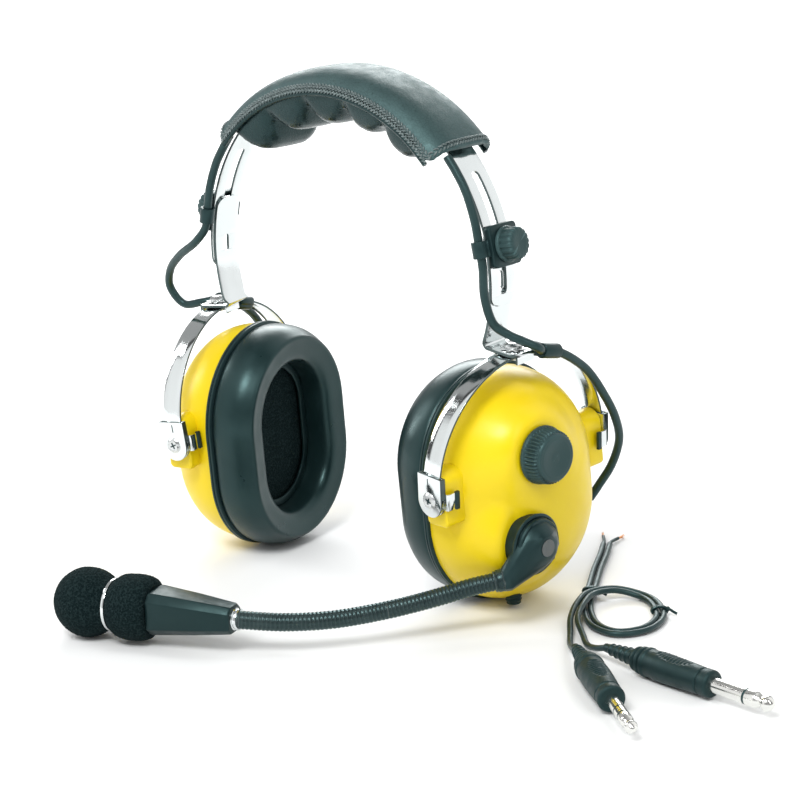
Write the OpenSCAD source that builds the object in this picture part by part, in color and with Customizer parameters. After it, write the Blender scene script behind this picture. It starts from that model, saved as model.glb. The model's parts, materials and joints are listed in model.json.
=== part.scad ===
// Aviation headset: slotted spring headband, two ear cups on stirrups, gooseneck boom microphone
// and a twin-plug lead. Millimetres. +Z is up, -Y is the wearer's front, +X is the wearer's left.
// Z = 0 is the table that the ear cups and the windscreen stand on.

/* [Headband] */
// Radius of the middle of the spring band
band_r = 81; // [76:1:86]
// Width of the spring band
band_w = 16; // [14:1:18]
// Thickness of the spring band and of the sliding arms
band_t = 1.2; // [1:0.1:1.5]
// Width of the adjustment slot
slot_w = 4.5; // [4.3:0.1:6]
// Angle of the adjuster above the band's centre at rest
adjuster_angle = 11.5; // [8:0.5:16]
// Width of the head cushion
cushion_w = 42; // [36:1:48]
// Angle at which the cushion ends, above the horizontal
cushion_end = 41; // [38:1:46]

/* [Ear cups] */
// Width of an ear seal
seal_w = 82; // [76:1:88]
// Height of an ear seal
seal_h = 103; // [96:1:110]
// Thickness of an ear seal
seal_t = 20; // [14:1:24]
// Width of the soft ring of an ear seal
seal_ring = 16.5; // [14:0.5:18]
// Depth from the seal's face to the outside of the dome
cup_depth = 58; // [54:1:62]
// Wall of the dome
dome_wall = 2.5; // [2:0.5:3]
// Turn of each cup about the vertical, front edges inwards
toe = 8; // [0:1:10]
// Lean of each cup, rear edge up
rake = 5; // [0:1:8]

/* [Stirrups] */
// Outward lean of each stirrup
cant = 5; // [0:1:8]
// Outer radius of the stirrup's arch
stirrup_r = 49.5; // [49:0.5:52]
// Width of the stirrup strap
strap_w = 9.5; // [8:0.5:12]
// Thickness of the stirrup strap
strap_t = 1; // [0.8:0.1:1.2]

/* [Controls and microphone] */
// Diameter of the volume knob at its base
volume_d = 25; // [20:1:28]
// Diameter of the adjuster knobs
adjuster_d = 15.5; // [13:0.5:17]
// Diameter of the gooseneck
neck_d = 7.6; // [6:0.2:8]
// Diameter of the windscreen
windscreen_d = 30; // [26:1:32]

/* [Lead] */
// Diameter of the phone plug's shaft
phone_pin_d = 6.35; // [6.35:0.05:6.4]
// Diameter of the microphone plug's shaft
mic_pin_d = 5.2; // [5.2:0.05:5.25]
// Diameter of a plug's handle
handle_d = 12.5; // [11:0.5:14]

/* [Hidden] */
$fn = 48;
fit = 0.05;
gap = 0.3;
sides = [1, -1];

// Band and arm
arm_t = band_t;
band_in = band_r - band_t / 2;
band_out = band_r + band_t / 2;
band_tip = -6.5;
slot_low = -1.5;
slot_high = 33;
arm_out = band_in - fit;
arm_in = arm_out - arm_t;
arm_w = 14.5;
arm_top = 17;
arm_foot = -19.5;
stud_d = 4;
clamp_t = 3.2;
clamp_in = band_out + 0.1;
knob_in = clamp_in + clamp_t + 0.1;
knob_h = 8;
clip_y = -12;
cable_d = 3.8;
hook_angle = 1;

// Cup outline: a stadium whose round ends have radius seal_w / 2
seal_r = seal_w / 2;
spine = seal_h - seal_w;
flange_r = seal_r + 1.5;
flange_t = 3;
dome_r = seal_r;
dome_round = 32;
dome_base = seal_t + flange_t;
opening_r = seal_r - seal_ring;
pivot_x = 35;
pivot_z = 9.3;
volume_at = [-7, 21];
boom_at = [-16, -16];
boom_disc_d = 25;
boom_face = cup_depth + 2.8;
shaft_d = 6;
gland_bore = 5.2;

// Stirrup: its frame has the top of the strap at the rivet as origin
stirrup_drop = stirrup_r + 2.5;
plate_in = stirrup_r - strap_t - 1.2;
plate_w = 13.6;
plate_up = 11;
plate_down = 5.6;
tab_low = -2.4;
tab_h = 6.9;
boss_w = 12.5;
boss_h = 25;
screw_d = 4;
rivet_d = 5;
rivet_x = 86;
foot_t = 1.6;
foot_len = 19;
foot_w = 10;
strap_lift = 5;
strap_clip_y = 14;
strap_clip_x = 7.3;

// Heights worked out so that both cups stand on Z = 0
cup_z = flange_r + spine / 2 * cos(rake);
rivet_z = cup_z + (stirrup_drop * cos(cant) + pivot_z) * cos(rake);
band_z = rivet_z + 28.5;

// Cushion
cover_in = band_out + 2.6;
cover_t = 3;
roll_d = 18;
roll_count = 5;
roll_inset = 14;
roll_y = cushion_w - 4;
roll_r = band_in - roll_d / 2 - 0.8;
cable_in_cushion = [11.5, band_r + 1.1];

// Boom and microphone
neck = [[100, -28, 23.5], [91, -37.5, 21.3], [81, -50, 18], [69, -67, 15.2], [56, -85, 13.8],
        [42, -100, 14.1], [26.5, -110.4, 15]];
neck_gap = neck_d / 2 + gap;
mic_at = [-42, -131, windscreen_d / 2 + 0.02];
mic_yaw = 17;
lobe_d = 28;
lobe_from = 15.5;
lobe_to = 31.5;
housing_from = 31.8;
housing_to = 69;

// Crossover cable routes on the wearer's left; the right side mirrors all but its loop
drop_route = [[62.4, -11.5, band_z + 53.5], [67, -11.5, band_z + 47.6], [72, -11.7, band_z + 39.8],
              [76.4, -12, band_z + 28.5], [78.6, -12, band_z + 17.6]];
loop_left_route = [[79, -12, band_z + 15.6], [80.3, -12, band_z + 8], [80.5, -11.5, band_z - 4],
                   [82.5, -9, band_z - 15], [87, -5, band_z - 20], [92.5, -1.5, band_z - 23],
                   [96.9, 3.2, band_z - 26.2], [94.7, 8.6, band_z - 28.8], [95, 13, band_z - 29.7]];
loop_right_route = [[79, -12, band_z + 15.6], [80.6, -12.2, band_z + 9.5], [87, -13, band_z + 2.5],
                    [100, -10, band_z - 5], [111, -6, band_z - 13.5], [115, -3, band_z - 23],
                    [109.5, 0, band_z - 31], [100, 2.4, band_z - 29.6], [94.8, 6.4, band_z - 28.4],
                    [94.5, 8.7, band_z - 28.8], [95, 13, band_z - 29.7]];
tail_route = [[strap_clip_x, 14.3, -1.9], [strap_clip_x, 18.5, -3.2], [8.2, 27, -8.8], [8.8, 36, -17],
              [9.8, 44, -29], [10.2, 51, -42], [8, 56, -55], [4, 55.5, -68], [1, 50, -77.5],
              [0, 45.3, -82.6]];
grommet_at = [0, 37.6, -80.4];
grommet_lean = -15;

// Lead: the shared route of the two cords on the table, then each cord's way to its plug
lead_d = 2.6;
lead_z = 1.95;
lead_pitch = 1.5;
lead_hump = lead_z + 3.2;
lead_route = [[70, 88, lead_z], [78, 74, lead_z], [87, 57, lead_z], [98, 38, lead_z], [107, 22, lead_z],
              [117, 8, lead_z], [129, -3, lead_z], [141, -5, lead_z], [148, 5, lead_z], [146, 19, lead_z],
              [137, 31, lead_z], [126, 38, lead_z], [114, 34, lead_hump - 1], [109, 22, lead_hump],
              [113, 8, lead_hump], [120, -6, lead_hump - 1]];
mic_lead_end = [[126, -17, lead_z], [132.5, -26, lead_z], [139.5, -34, 4], [144.4, -38.3, 6.3]];
phone_lead_end = [[131, -15, lead_z], [139.5, -23.5, lead_z], [148, -29.3, 4.2], [154.4, -31.1, 6.3]];
lead_ties_at = [[102.6, 30, -59], [140.9, 26.6, -49]];
mic_plug_at = [144, -38, handle_d / 2 + 0.05];
mic_plug_yaw = -40;
phone_plug_at = [154, -31, handle_d / 2 + 0.05];
phone_plug_yaw = -9;
relief_len = 17;
handle_len = 41;
pin_len = 30;

// ---- placement -------------------------------------------------------------------------------

module on_side(side) {
    if (side > 0)
        children();
    else
        mirror([1, 0, 0]) children();
}

// x points out along the band's radius, z along the band
module at_band(angle) {
    translate([0, 0, band_z]) rotate([0, -angle, 0]) children();
}

module in_stirrup() {
    translate([rivet_x, 0, rivet_z])
        rotate([0, 0, -toe]) rotate([rake, 0, 0]) rotate([0, cant, 0]) children();
}

// x points out of the cup from the seal's face, z up, y to the rear
module in_cup() {
    in_stirrup() translate([0, 0, -stirrup_drop]) rotate([0, -cant, 0])
        translate([-pivot_x, 0, -pivot_z]) children();
}

module in_mic() {
    translate(mic_at) rotate([0, 0, mic_yaw]) children();
}

module along_x() {
    rotate([0, 90, 0]) children();
}

module in_plug(at, yaw) {
    translate(at) rotate([0, 0, yaw]) along_x() children();
}

// ---- shapes ----------------------------------------------------------------------------------

// Strip bent on the band's centre from angle a0 to a1
module arc_strip(r0, r1, w, a0, a1) {
    translate([0, 0, band_z]) rotate([90, 0, 0]) rotate([0, 0, a0])
        rotate_extrude(angle = a1 - a0, $fn = 96)
            translate([r0, -w / 2]) square([r1 - r0, w]);
}

// Slot through a bent strip, with round ends
module arc_slot(w, a0, a1) {
    arc_strip(band_in - 4, band_out + 4, w, a0, a1);
    for (a = [a0, a1])
        at_band(a) translate([band_in - 4, 0, 0]) along_x() cylinder(d = w, h = 9);
}

// Lays a cup drawing (width x, height y, depth z) into the cup's frame
module bench() {
    rotate([90, 0, 90]) children();
}

// Carries a profile (distance from the spine, depth) round the cup's outline
module stadium_sweep() {
    for (turn = [0, 180])
        rotate([0, 0, turn]) {
            translate([0, spine / 2, 0]) rotate_extrude(angle = 180, $fn = 96) children();
            rotate([90, 0, 0]) translate([0, 0, -spine / 2]) linear_extrude(spine) children();
        }
}

module stadium(r, h) {
    linear_extrude(h) {
        for (end = [-1, 1])
            translate([0, end * spine / 2]) circle(r, $fn = 96);
        square([2 * r, spine], center = true);
    }
}

module round_box(w, h, r) {
    translate([r, 0]) square([w - 2 * r, h]);
    translate([0, r]) square([w, h - 2 * r]);
    for (x = [r, w - r], y = [r, h - r])
        translate([x, y]) circle(r);
}

// Half profile of a domed cover: flat middle, round shoulder, straight skirt
module dome_profile(r, top, round) {
    flat = r - round;
    square([flat, top]);
    square([r, top - round]);
    translate([flat, top - round]) intersection() {
        circle(round, $fn = 96);
        square(round);
    }
}

function unit(v) = v / norm(v);
function spline(a, b, c, d, t) =
    0.5 * (2 * b + (c - a) * t + (2 * a - 5 * b + 4 * c - d) * t * t
           + (3 * b - a - 3 * c + d) * t * t * t);
function smooth(p, n) = let (last = len(p) - 1)
    [for (i = [0 : last - 1], k = [0 : n - 1])
        spline(p[max(i - 1, 0)], p[i], p[i + 1], p[min(i + 2, last)], k / n), p[last]];
function tangent(p, i) = unit(p[min(i + 1, len(p) - 1)] - p[max(i - 1, 0)]);
function square_to(v, t) = unit(v - (v * t) * t);
function normals(p) =
    [for (i = 0, v = square_to([0.3, 0.2, 1], tangent(p, 0)); i < len(p);
          i = i + 1, v = i < len(p) ? square_to(v, tangent(p, i)) : v) v];

// Round tube along a route, with n rings to each stretch
module tube(route, d, n = 1, ring = 8) {
    p = smooth(route, n);
    across = normals(p);
    points = [for (i = [0 : len(p) - 1], k = [0 : ring - 1])
        let (a = 360 * k / ring, u = across[i], v = cross(tangent(p, i), u))
            p[i] + d / 2 * (cos(a) * u + sin(a) * v)];
    walls = [for (i = [0 : len(p) - 2], k = [0 : ring - 1])
        [i * ring + k, (i + 1) * ring + k, (i + 1) * ring + (k + 1) % ring, i * ring + (k + 1) % ring]];
    first = [for (k = [0 : ring - 1]) k];
    end = [for (k = [ring - 1 : -1 : 0]) (len(p) - 1) * ring + k];
    polyhedron(points, concat(walls, [first, end]));
}

// The lead's shared route moved sideways, for one cord of the pair
function beside(p, by) = [for (i = [0 : len(p) - 1])
    p[i] + by * unit(cross([0, 0, 1], tangent(p, i)))];

// ---- headband --------------------------------------------------------------------------------

module headband_spring() {
    color([0.78, 0.8, 0.8])
    difference() {
        union() {
            arc_strip(band_in, band_out, band_w, band_tip + 5, 180 - band_tip - 5);
            arc_strip(band_in, band_out, band_w - 6, band_tip, 180 - band_tip);
            for (side = sides, y = [-1, 1])
                on_side(side) intersection() {
                    arc_strip(band_in, band_out, band_w, band_tip, band_tip + 6);
                    at_band(band_tip + 5) translate([band_in - 2, y * (band_w / 2 - 7), 0])
                        along_x() cylinder(r = 7, h = 5);
                }
        }
        for (side = sides)
            on_side(side) arc_slot(slot_w, slot_low, slot_high);
    }
}

module cushion_cover() {
    color([0.12, 0.17, 0.17])
    arc_strip(cover_in, cover_in + cover_t, cushion_w, cushion_end, 180 - cushion_end);
}

module cushion_rolls() {
    span = 180 - 2 * (cushion_end + roll_inset);
    color([0.1, 0.14, 0.14]) {
        arc_strip(roll_r, band_in - 0.4, roll_y - 6, cushion_end + 4, 176 - cushion_end);
        for (i = [0 : roll_count - 1])
            at_band(cushion_end + roll_inset + span * i / (roll_count - 1))
                translate([roll_r, roll_y / 2, 0]) rotate([90, 0, 0]) cylinder(d = roll_d, h = roll_y);
    }
}

module cable_headband() {
    color([0.13, 0.17, 0.17])
    translate([0, 0, band_z]) rotate([90, 0, 0]) rotate([0, 0, cushion_end + 6])
        rotate_extrude(angle = 168 - 2 * cushion_end, $fn = 96)
            translate([cable_in_cushion[1], cable_in_cushion[0]]) circle(d = cable_d - 1, $fn = 24);
}

// ---- sliding arms ----------------------------------------------------------------------------

module arm(side) {
    color([0.8, 0.82, 0.82])
    on_side(side) {
        difference() {
            union() {
                arc_strip(arm_in, arm_out, arm_w, arm_foot, arm_top);
                at_band(adjuster_angle) translate([arm_in, 0, 0]) along_x()
                    cylinder(d = stud_d, h = knob_in + knob_h - 2 - arm_in);
            }
            at_band(hook_angle) translate([arm_in - 1, 0, -3]) along_x() cylinder(d = 3.4, h = 2.2);
            at_band(hook_angle) translate([arm_in - 1, 0, 3]) along_x() cylinder(d = 3.4, h = 2.2);
        }
        difference() {
            in_stirrup() {
                translate([-foot_len + 7.5, -foot_w / 2, fit]) cube([foot_len, foot_w, foot_t]);
                translate([6.3, -5, -3.4]) cube([1.2, 10, 3.6]);
                translate([-7.5, -5, -3.4]) cube([1.2, 10, 3.6]);
            }
            in_stirrup() translate([0, 0, -1]) cylinder(d = rivet_d, h = 6);
        }
    }
}

module clamp_block(side) {
    color([0.12, 0.15, 0.15])
    on_side(side) at_band(adjuster_angle) difference() {
        translate([clamp_in, -9, -9]) cube([clamp_t, 18, 18]);
        translate([clamp_in - 1, 0, 0]) along_x() cylinder(d = stud_d + 2 * fit, h = clamp_t + 2);
    }
}

module cable_clip(side) {
    color([0.12, 0.15, 0.15])
    on_side(side) at_band(adjuster_angle) difference() {
        union() {
            translate([band_r - 0.5, clip_y, -3.5]) cylinder(d = 6.2, h = 7);
            translate([clamp_in, clip_y, -3.5]) cube([2.4, -9 - clip_y - 0.02, 7]);
        }
        translate([band_r - 0.5, clip_y, -5]) cylinder(d = cable_d + 0.6, h = 10);
    }
}

module adjuster_knob(side) {
    color([0.13, 0.16, 0.16])
    on_side(side) at_band(adjuster_angle) translate([knob_in, 0, 0]) along_x() difference() {
        union() {
            cylinder(d = adjuster_d - 1.4, h = knob_h - 1);
            for (a = [0 : 20 : 340])
                rotate([0, 0, a]) translate([adjuster_d / 2 - 0.9, 0, 0])
                    cylinder(d = 1.8, h = knob_h - 1.4);
            cylinder(d1 = adjuster_d - 2, d2 = 7, h = knob_h);
        }
        translate([0, 0, -1]) cylinder(d = stud_d + 2 * fit, h = knob_h - 0.6);
    }
}

// ---- stirrups --------------------------------------------------------------------------------

// The bent strap, or with grow above 0 the room that it takes up
module strap(grow) {
    strap_end = asin((stirrup_r + strap_lift - stirrup_drop) / stirrup_r);
    translate([0, 0, -stirrup_r]) rotate([90, 0, 90]) rotate([0, 0, strap_end])
        rotate_extrude(angle = 180 - 2 * strap_end, $fn = 96)
            translate([stirrup_r - strap_t - grow, -strap_w / 2 - grow])
                square([strap_t + 2 * grow, strap_w + 2 * grow]);
}

module stirrup(side) {
    color([0.82, 0.84, 0.84])
    on_side(side) in_stirrup() difference() {
        strap(0);
        translate([0, 0, -3]) cylinder(d = rivet_d + 2 * fit, h = 6);
    }
}

module stirrup_rivet(side) {
    color([0.7, 0.72, 0.72])
    on_side(side) in_stirrup() {
        translate([0, 0, -2.2]) cylinder(d = rivet_d, h = foot_t + 3.4);
        translate([0, 0, -2.6]) cylinder(d = 8.4, h = 1);
        translate([0, 0, fit + foot_t]) cylinder(d = 11, h = 0.6);
        translate([0, 0, fit + foot_t + 0.6]) cylinder(d1 = 8, d2 = 5.4, h = 1.8);
    }
}

module end_clips(side) {
    color([0.76, 0.78, 0.78])
    on_side(side) in_stirrup() difference() {
        translate([0, 0, -stirrup_drop]) for (end = [1, -1])
            mirror([0, end > 0 ? 0 : 1, 0]) end_clip();
        strap(fit);
    }
}

// One end clip, with the pivot screw's centre as origin
module end_clip() {
    difference() {
        union() {
            translate([-plate_w / 2, plate_in, -plate_down]) cube([plate_w, 1.2, plate_up + plate_down]);
            translate([0, plate_in + 1.2, -plate_down]) rotate([90, 0, 0]) cylinder(d = plate_w, h = 1.2);
            translate([plate_w / 2 - 0.1, plate_in, tab_low]) cube([2.1, 1.2, tab_h]);
            translate([plate_w / 2 + 0.8, plate_in - 6.5, tab_low]) cube([1.2, 6.6, tab_h]);
        }
        translate([0, plate_in + 3, 0]) rotate([90, 0, 0]) cylinder(d = screw_d + 2 * fit, h = 5);
    }
}

module strap_clip(side) {
    drop = stirrup_r - sqrt(pow(stirrup_r, 2) - pow(strap_clip_y, 2));
    lean = asin(strap_clip_y / stirrup_r);
    color([0.1, 0.13, 0.13])
    on_side(side) in_stirrup() translate([0, strap_clip_y, -drop]) rotate([-lean, 0, 0])
        difference() {
            union() {
                translate([-strap_w / 2 - 1.5, -4.5, -2.4]) cube([strap_w + 3, 9, 3.6]);
                translate([strap_clip_x, 4.5, 0.2]) rotate([90, 0, 0]) cylinder(d = 6.6, h = 9);
                translate([strap_w / 2, -4.5, -2.4]) cube([3, 9, 4.2]);
            }
            translate([-strap_w / 2 - 0.1, -6, -strap_t - 0.3]) cube([strap_w + 0.2, 12, strap_t + 0.5]);
            translate([strap_clip_x, 7, 0.2]) rotate([90, 0, 0]) cylinder(d = cable_d + 0.8, h = 14);
        }
}

// ---- ear cups --------------------------------------------------------------------------------

module dome(side) {
    color([0.95, 0.83, 0.1])
    on_side(side) in_cup() difference() {
        union() {
            bench() translate([0, 0, dome_base]) stadium_sweep()
                dome_profile(dome_r, cup_depth - dome_base, dome_round);
            for (y = [-plate_in + 0.1, dome_r - 4])
                translate([pivot_x - boss_w / 2, y, pivot_z - boss_h / 2])
                    cube([boss_w, plate_in - dome_r + 3.9, boss_h]);
            if (side > 0)
                translate([cup_depth - 8, volume_at[0], volume_at[1]]) along_x()
                    cylinder(d = volume_d + 2, h = 8.1);
        }
        bench() translate([0, 0, dome_base - 1]) stadium_sweep()
            dome_profile(dome_r - dome_wall, cup_depth - dome_base + 1 - dome_wall, dome_round - dome_wall);
        for (y = [-1, 1])
            translate([pivot_x, y * plate_in, pivot_z]) rotate([y * 90, 0, 0])
                translate([0, 0, -1]) cylinder(d = screw_d, h = 9);
        in_pivot_plane() grommet_seat(cable_d + 2.4);
        if (side > 0) {
            translate([cup_depth - 20, volume_at[0], volume_at[1]]) along_x()
                cylinder(d = shaft_d + 2 * fit, h = 30);
            translate([cup_depth - 20, boom_at[0], boom_at[1]]) along_x()
                cylinder(d = boom_disc_d + 2 * fit, h = 30);
            translate([dome_base + 14, -10, -spine / 2 - dome_r + 8]) rotate([180, 0, 0])
                translate([0, 0, -4]) cylinder(d = 8.2, h = 16);
        }
    }
}

// Stirrup coordinates turned into cup coordinates
module in_pivot_plane() {
    translate([pivot_x, 0, pivot_z]) rotate([0, cant, 0]) translate([0, 0, stirrup_drop]) children();
}

module grommet_seat(d) {
    translate(grommet_at) rotate([grommet_lean - 90, 0, 0]) translate([0, 0, -7]) cylinder(d = d, h = 15);
}

module back_plate(side) {
    color([0.08, 0.11, 0.11])
    on_side(side) in_cup() difference() {
        bench() translate([0, 0, seal_t]) stadium(flange_r, flange_t - 0.02);
        translate([seal_t - 1, 0, 0]) along_x() cylinder(d = 32, h = flange_t + 2);
    }
}

module ear_seal(side) {
    color([0.1, 0.14, 0.14])
    on_side(side) in_cup() bench() stadium_sweep()
        translate([opening_r, 0]) round_box(seal_ring, seal_t - 0.02, 5);
}

module pivot_screws(side) {
    color([0.6, 0.62, 0.62])
    on_side(side) in_stirrup() translate([0, 0, -stirrup_drop]) for (end = [1, -1])
        mirror([0, end > 0 ? 0 : 1, 0]) {
            translate([0, plate_in - 6.9, 0]) rotate([-90, 0, 0]) cylinder(d = screw_d, h = 9);
            translate([0, plate_in + 1.25, 0]) rotate([-90, 0, 0]) cylinder(d1 = 7.6, d2 = 6, h = 1.8);
        }
}

module speaker(side) {
    color([0.35, 0.35, 0.33])
    on_side(side) in_cup() translate([dome_base, 0, 0]) along_x() {
        cylinder(d = 38, h = 6);
        translate([0, 0, 6]) cylinder(d1 = 34, d2 = 22, h = 5);
        translate([0, 0, 11]) cylinder(d = 22, h = 4);
    }
}

module ear_foam(side) {
    color([0.06, 0.08, 0.08])
    on_side(side) in_cup() bench() translate([0, 0, seal_t - 3.6]) stadium(opening_r - 0.4, 3.5);
}

module cable_grommet(side) {
    color([0.08, 0.1, 0.1])
    on_side(side) in_cup() in_pivot_plane() translate(grommet_at) rotate([grommet_lean - 90, 0, 0]) {
        translate([0, 0, -3]) cylinder(d = cable_d + 2.3, h = 6);
        translate([0, 0, 2.9]) cylinder(d1 = 8, d2 = cable_d + 1, h = 3.5);
    }
}

// ---- crossover cable -------------------------------------------------------------------------

module cable_drop(side) {
    color([0.13, 0.17, 0.17])
    on_side(side) tube(drop_route, cable_d, 1);
}

module cable_loop(side) {
    color([0.13, 0.17, 0.17])
    on_side(side) tube(side > 0 ? loop_left_route : loop_right_route, cable_d, 1);
}

module cable_tail(side) {
    color([0.13, 0.17, 0.17])
    on_side(side) in_stirrup() tube(tail_route, cable_d, 1);
}

// ---- volume control and electronics ----------------------------------------------------------

module volume_knob() {
    color([0.2, 0.25, 0.25])
    in_cup() translate([cup_depth + 0.4, volume_at[0], volume_at[1]]) along_x() difference() {
        union() {
            cylinder(d = volume_d, h = 2);
            cylinder(d1 = volume_d - 1.6, d2 = volume_d - 3.6, h = 9.4);
        }
        translate([0, 0, -1]) cylinder(d = shaft_d + 2 * fit, h = 7.5);
        translate([0, 0, 8.8]) cylinder(d1 = 15, d2 = 18, h = 1);
    }
}

module volume_pot() {
    color([0.45, 0.46, 0.44])
    in_cup() translate([cup_depth - dome_wall, volume_at[0], volume_at[1]]) along_x() {
        translate([0, 0, -12.6]) cylinder(d = 16, h = 9.4);
        translate([0, 0, -3.2]) cylinder(d = 9, h = 1.8);
        translate([0, 0, -0.5]) cylinder(d = shaft_d, h = 8.6);
    }
}

module terminal_board() {
    color([0.1, 0.35, 0.2])
    in_cup() translate([41.6, -18, -36]) {
        cube([1.6, 32, 20]);
        for (i = [0 : 4])
            translate([1.6, 3 + 5.6 * i, 3]) cube([2.6, 4, 5]);
    }
}

module cord_gland() {
    color([0.1, 0.12, 0.12])
    in_cup() translate([dome_base + 14, -10, -spine / 2 - dome_r + 8]) rotate([180, 0, 0]) difference() {
        union() {
            translate([0, 0, -3.6]) cylinder(d = 8, h = 10.4);
            translate([0, 0, -3.6]) cylinder(d = 9.4, h = 0.8);
        }
        translate([0, 0, -5]) cylinder(d = gland_bore, h = 13);
    }
}

// ---- boom and microphone ---------------------------------------------------------------------

module boom_disc() {
    color([0.07, 0.09, 0.09])
    in_cup() translate([boom_face, boom_at[0], boom_at[1]]) along_x() difference() {
        union() {
            translate([0, 0, -12]) cylinder(d = boom_disc_d, h = 12);
            translate([0, 0, -1.4]) cylinder(d = boom_disc_d + 1.6, h = 1.4);
        }
        translate([0, 0, -13]) cylinder(d = screw_d + 2 * fit, h = 14);
    }
}

module boom_housing() {
    root = [boom_face + fit, boom_at[0], boom_at[1]];
    aim = unit(neck[1] - neck[0]);
    color([0.08, 0.1, 0.1])
    difference() {
        union() {
            hull() {
                in_cup() translate(root) along_x() cylinder(d = 21, h = 6.5, $fn = 20);
                translate(neck[0]) sphere(d = 10.4, $fn = 16);
            }
            in_cup() translate(root) along_x() cylinder(d = 23, h = 2);
        }
        in_cup() translate(root - [20, 0, 0]) along_x() cylinder(d = boom_disc_d + 2.4, h = 20);
        in_cup() translate(root - [1, 0, 0]) along_x() cylinder(d = screw_d + 2 * fit, h = 14);
        in_cup() translate(root + [4.5, 0, 0]) along_x() cylinder(d = 7.8, h = 8);
        translate(neck[0]) rotate([0, -asin(aim[2]), atan2(aim[1], aim[0])])
            translate([9.9, 0, 0]) cube(20, center = true);
    }
}

module boom_screw() {
    color([0.3, 0.32, 0.32])
    in_cup() translate([boom_face, boom_at[0], boom_at[1]]) along_x() {
        translate([0, 0, -11]) cylinder(d = screw_d, h = 16);
        translate([0, 0, 4.6]) cylinder(d = 7.4, h = 2.2);
    }
}

module gooseneck_rear() {
    aim = unit(neck[2] - neck[1]);
    color([0.16, 0.2, 0.2])
    tube([neck[0], neck[1], neck[2] - neck_gap * aim], neck_d, 2, 10);
}

module gooseneck_middle() {
    aim = unit(neck[4] - neck[3]);
    color([0.16, 0.2, 0.2])
    tube([neck[2], neck[3], neck[4] - neck_gap * aim], neck_d, 2, 10);
}

module gooseneck_front() {
    color([0.16, 0.2, 0.2])
    tube([neck[4], neck[5], neck[6]], neck_d, 2, 10);
}

module mic_housing() {
    color([0.1, 0.13, 0.13])
    in_mic() translate([housing_from, 0, 0]) along_x() difference() {
        rotate([0, 0, 22.5]) cylinder(d1 = 20, d2 = 12, h = housing_to - housing_from, $fn = 8);
        translate([0, 0, -1]) cylinder(d = 10.2, h = 8);
    }
}

module mic_capsule() {
    color([0.6, 0.6, 0.56])
    in_mic() translate([housing_from + 0.2, 0, 0]) along_x() {
        cylinder(d = 9.8, h = 5);
        for (y = [-2, 2])
            translate([0, y, 5]) cylinder(d = 0.9, h = 1.6);
    }
}

module windscreen() {
    color([0.16, 0.19, 0.19])
    in_mic() along_x() {
        sphere(d = windscreen_d, $fn = 64);
        translate([0, 0, 8]) cylinder(d = 23, h = 10);
        translate([0, 0, lobe_from]) rotate_extrude($fn = 64) {
            square([lobe_d / 2 - 5, lobe_to - lobe_from]);
            translate([lobe_d / 2 - 10, 0]) round_box(10, lobe_to - lobe_from, 4.9);
        }
    }
}

// ---- twin-plug lead --------------------------------------------------------------------------

module plug_handle(at, yaw) {
    color([0.12, 0.15, 0.15])
    in_plug(at, yaw) {
        cylinder(d1 = 4.2, d2 = 7, h = relief_len);
        translate([0, 0, relief_len]) cylinder(d1 = 9, d2 = handle_d, h = 4);
        translate([0, 0, relief_len + 4]) cylinder(d = handle_d, h = handle_len - 7);
        translate([0, 0, relief_len + handle_len - 3]) cylinder(d = handle_d - 2, h = 3);
    }
}

// One groove for a tip and sleeve, two for a tip, ring and sleeve
module plug_pin(at, yaw, d, grooves) {
    start = relief_len + handle_len;
    color([0.8, 0.8, 0.78])
    in_plug(at, yaw) difference() {
        union() {
            translate([0, 0, start]) cylinder(d = d, h = pin_len - 8);
            translate([0, 0, start + pin_len - 8]) cylinder(d1 = d, d2 = d - 2, h = 2.6);
            translate([0, 0, start + pin_len - 5.4]) cylinder(d1 = d - 2, d2 = d, h = 1.8);
            translate([0, 0, start + pin_len - 3.6]) cylinder(d1 = d, d2 = 1.6, h = 3.6);
        }
        for (i = [1 : grooves])
            translate([0, 0, start + pin_len - 8 - 5.5 * i]) difference() {
                cylinder(d = d + 1, h = 1);
                translate([0, 0, -1]) cylinder(d = d - 0.8, h = 3);
            }
    }
}

module mic_lead() {
    color([0.14, 0.17, 0.17])
    tube(concat(beside(lead_route, -lead_pitch), mic_lead_end), lead_d, 1);
}

module phone_lead() {
    color([0.14, 0.17, 0.17])
    tube(concat(beside(lead_route, lead_pitch), phone_lead_end), lead_d, 1);
}

module lead_ties() {
    color([0.1, 0.12, 0.12])
    for (tie = lead_ties_at)
        translate([tie[0], tie[1], lead_z]) rotate([0, 0, tie[2]]) difference() {
            cube([2.6, 7.8, 3.8], center = true);
            cube([4, 6.4, 2.9], center = true);
        }
}

// ---- nodes -----------------------------------------------------------------------------------

headband_spring();
cushion_cover();
cushion_rolls();
cable_headband();
arm(1);  // arm_left
arm(-1);  // arm_right
clamp_block(1);  // clamp_block_left
clamp_block(-1);  // clamp_block_right
cable_clip(1);  // cable_clip_left
cable_clip(-1);  // cable_clip_right
adjuster_knob(1);  // adjuster_knob_left
adjuster_knob(-1);  // adjuster_knob_right
stirrup(1);  // stirrup_left
stirrup(-1);  // stirrup_right
stirrup_rivet(1);  // stirrup_rivet_left
stirrup_rivet(-1);  // stirrup_rivet_right
end_clips(1);  // end_clips_left
end_clips(-1);  // end_clips_right
strap_clip(1);  // strap_clip_left
strap_clip(-1);  // strap_clip_right
dome(1);  // dome_left
dome(-1);  // dome_right
back_plate(1);  // back_plate_left
back_plate(-1);  // back_plate_right
ear_seal(1);  // ear_seal_left
ear_seal(-1);  // ear_seal_right
pivot_screws(1);  // pivot_screws_left
pivot_screws(-1);  // pivot_screws_right
speaker(1);  // speaker_left
speaker(-1);  // speaker_right
ear_foam(1);  // ear_foam_left
ear_foam(-1);  // ear_foam_right
cable_grommet(1);  // cable_grommet_left
cable_grommet(-1);  // cable_grommet_right
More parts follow.
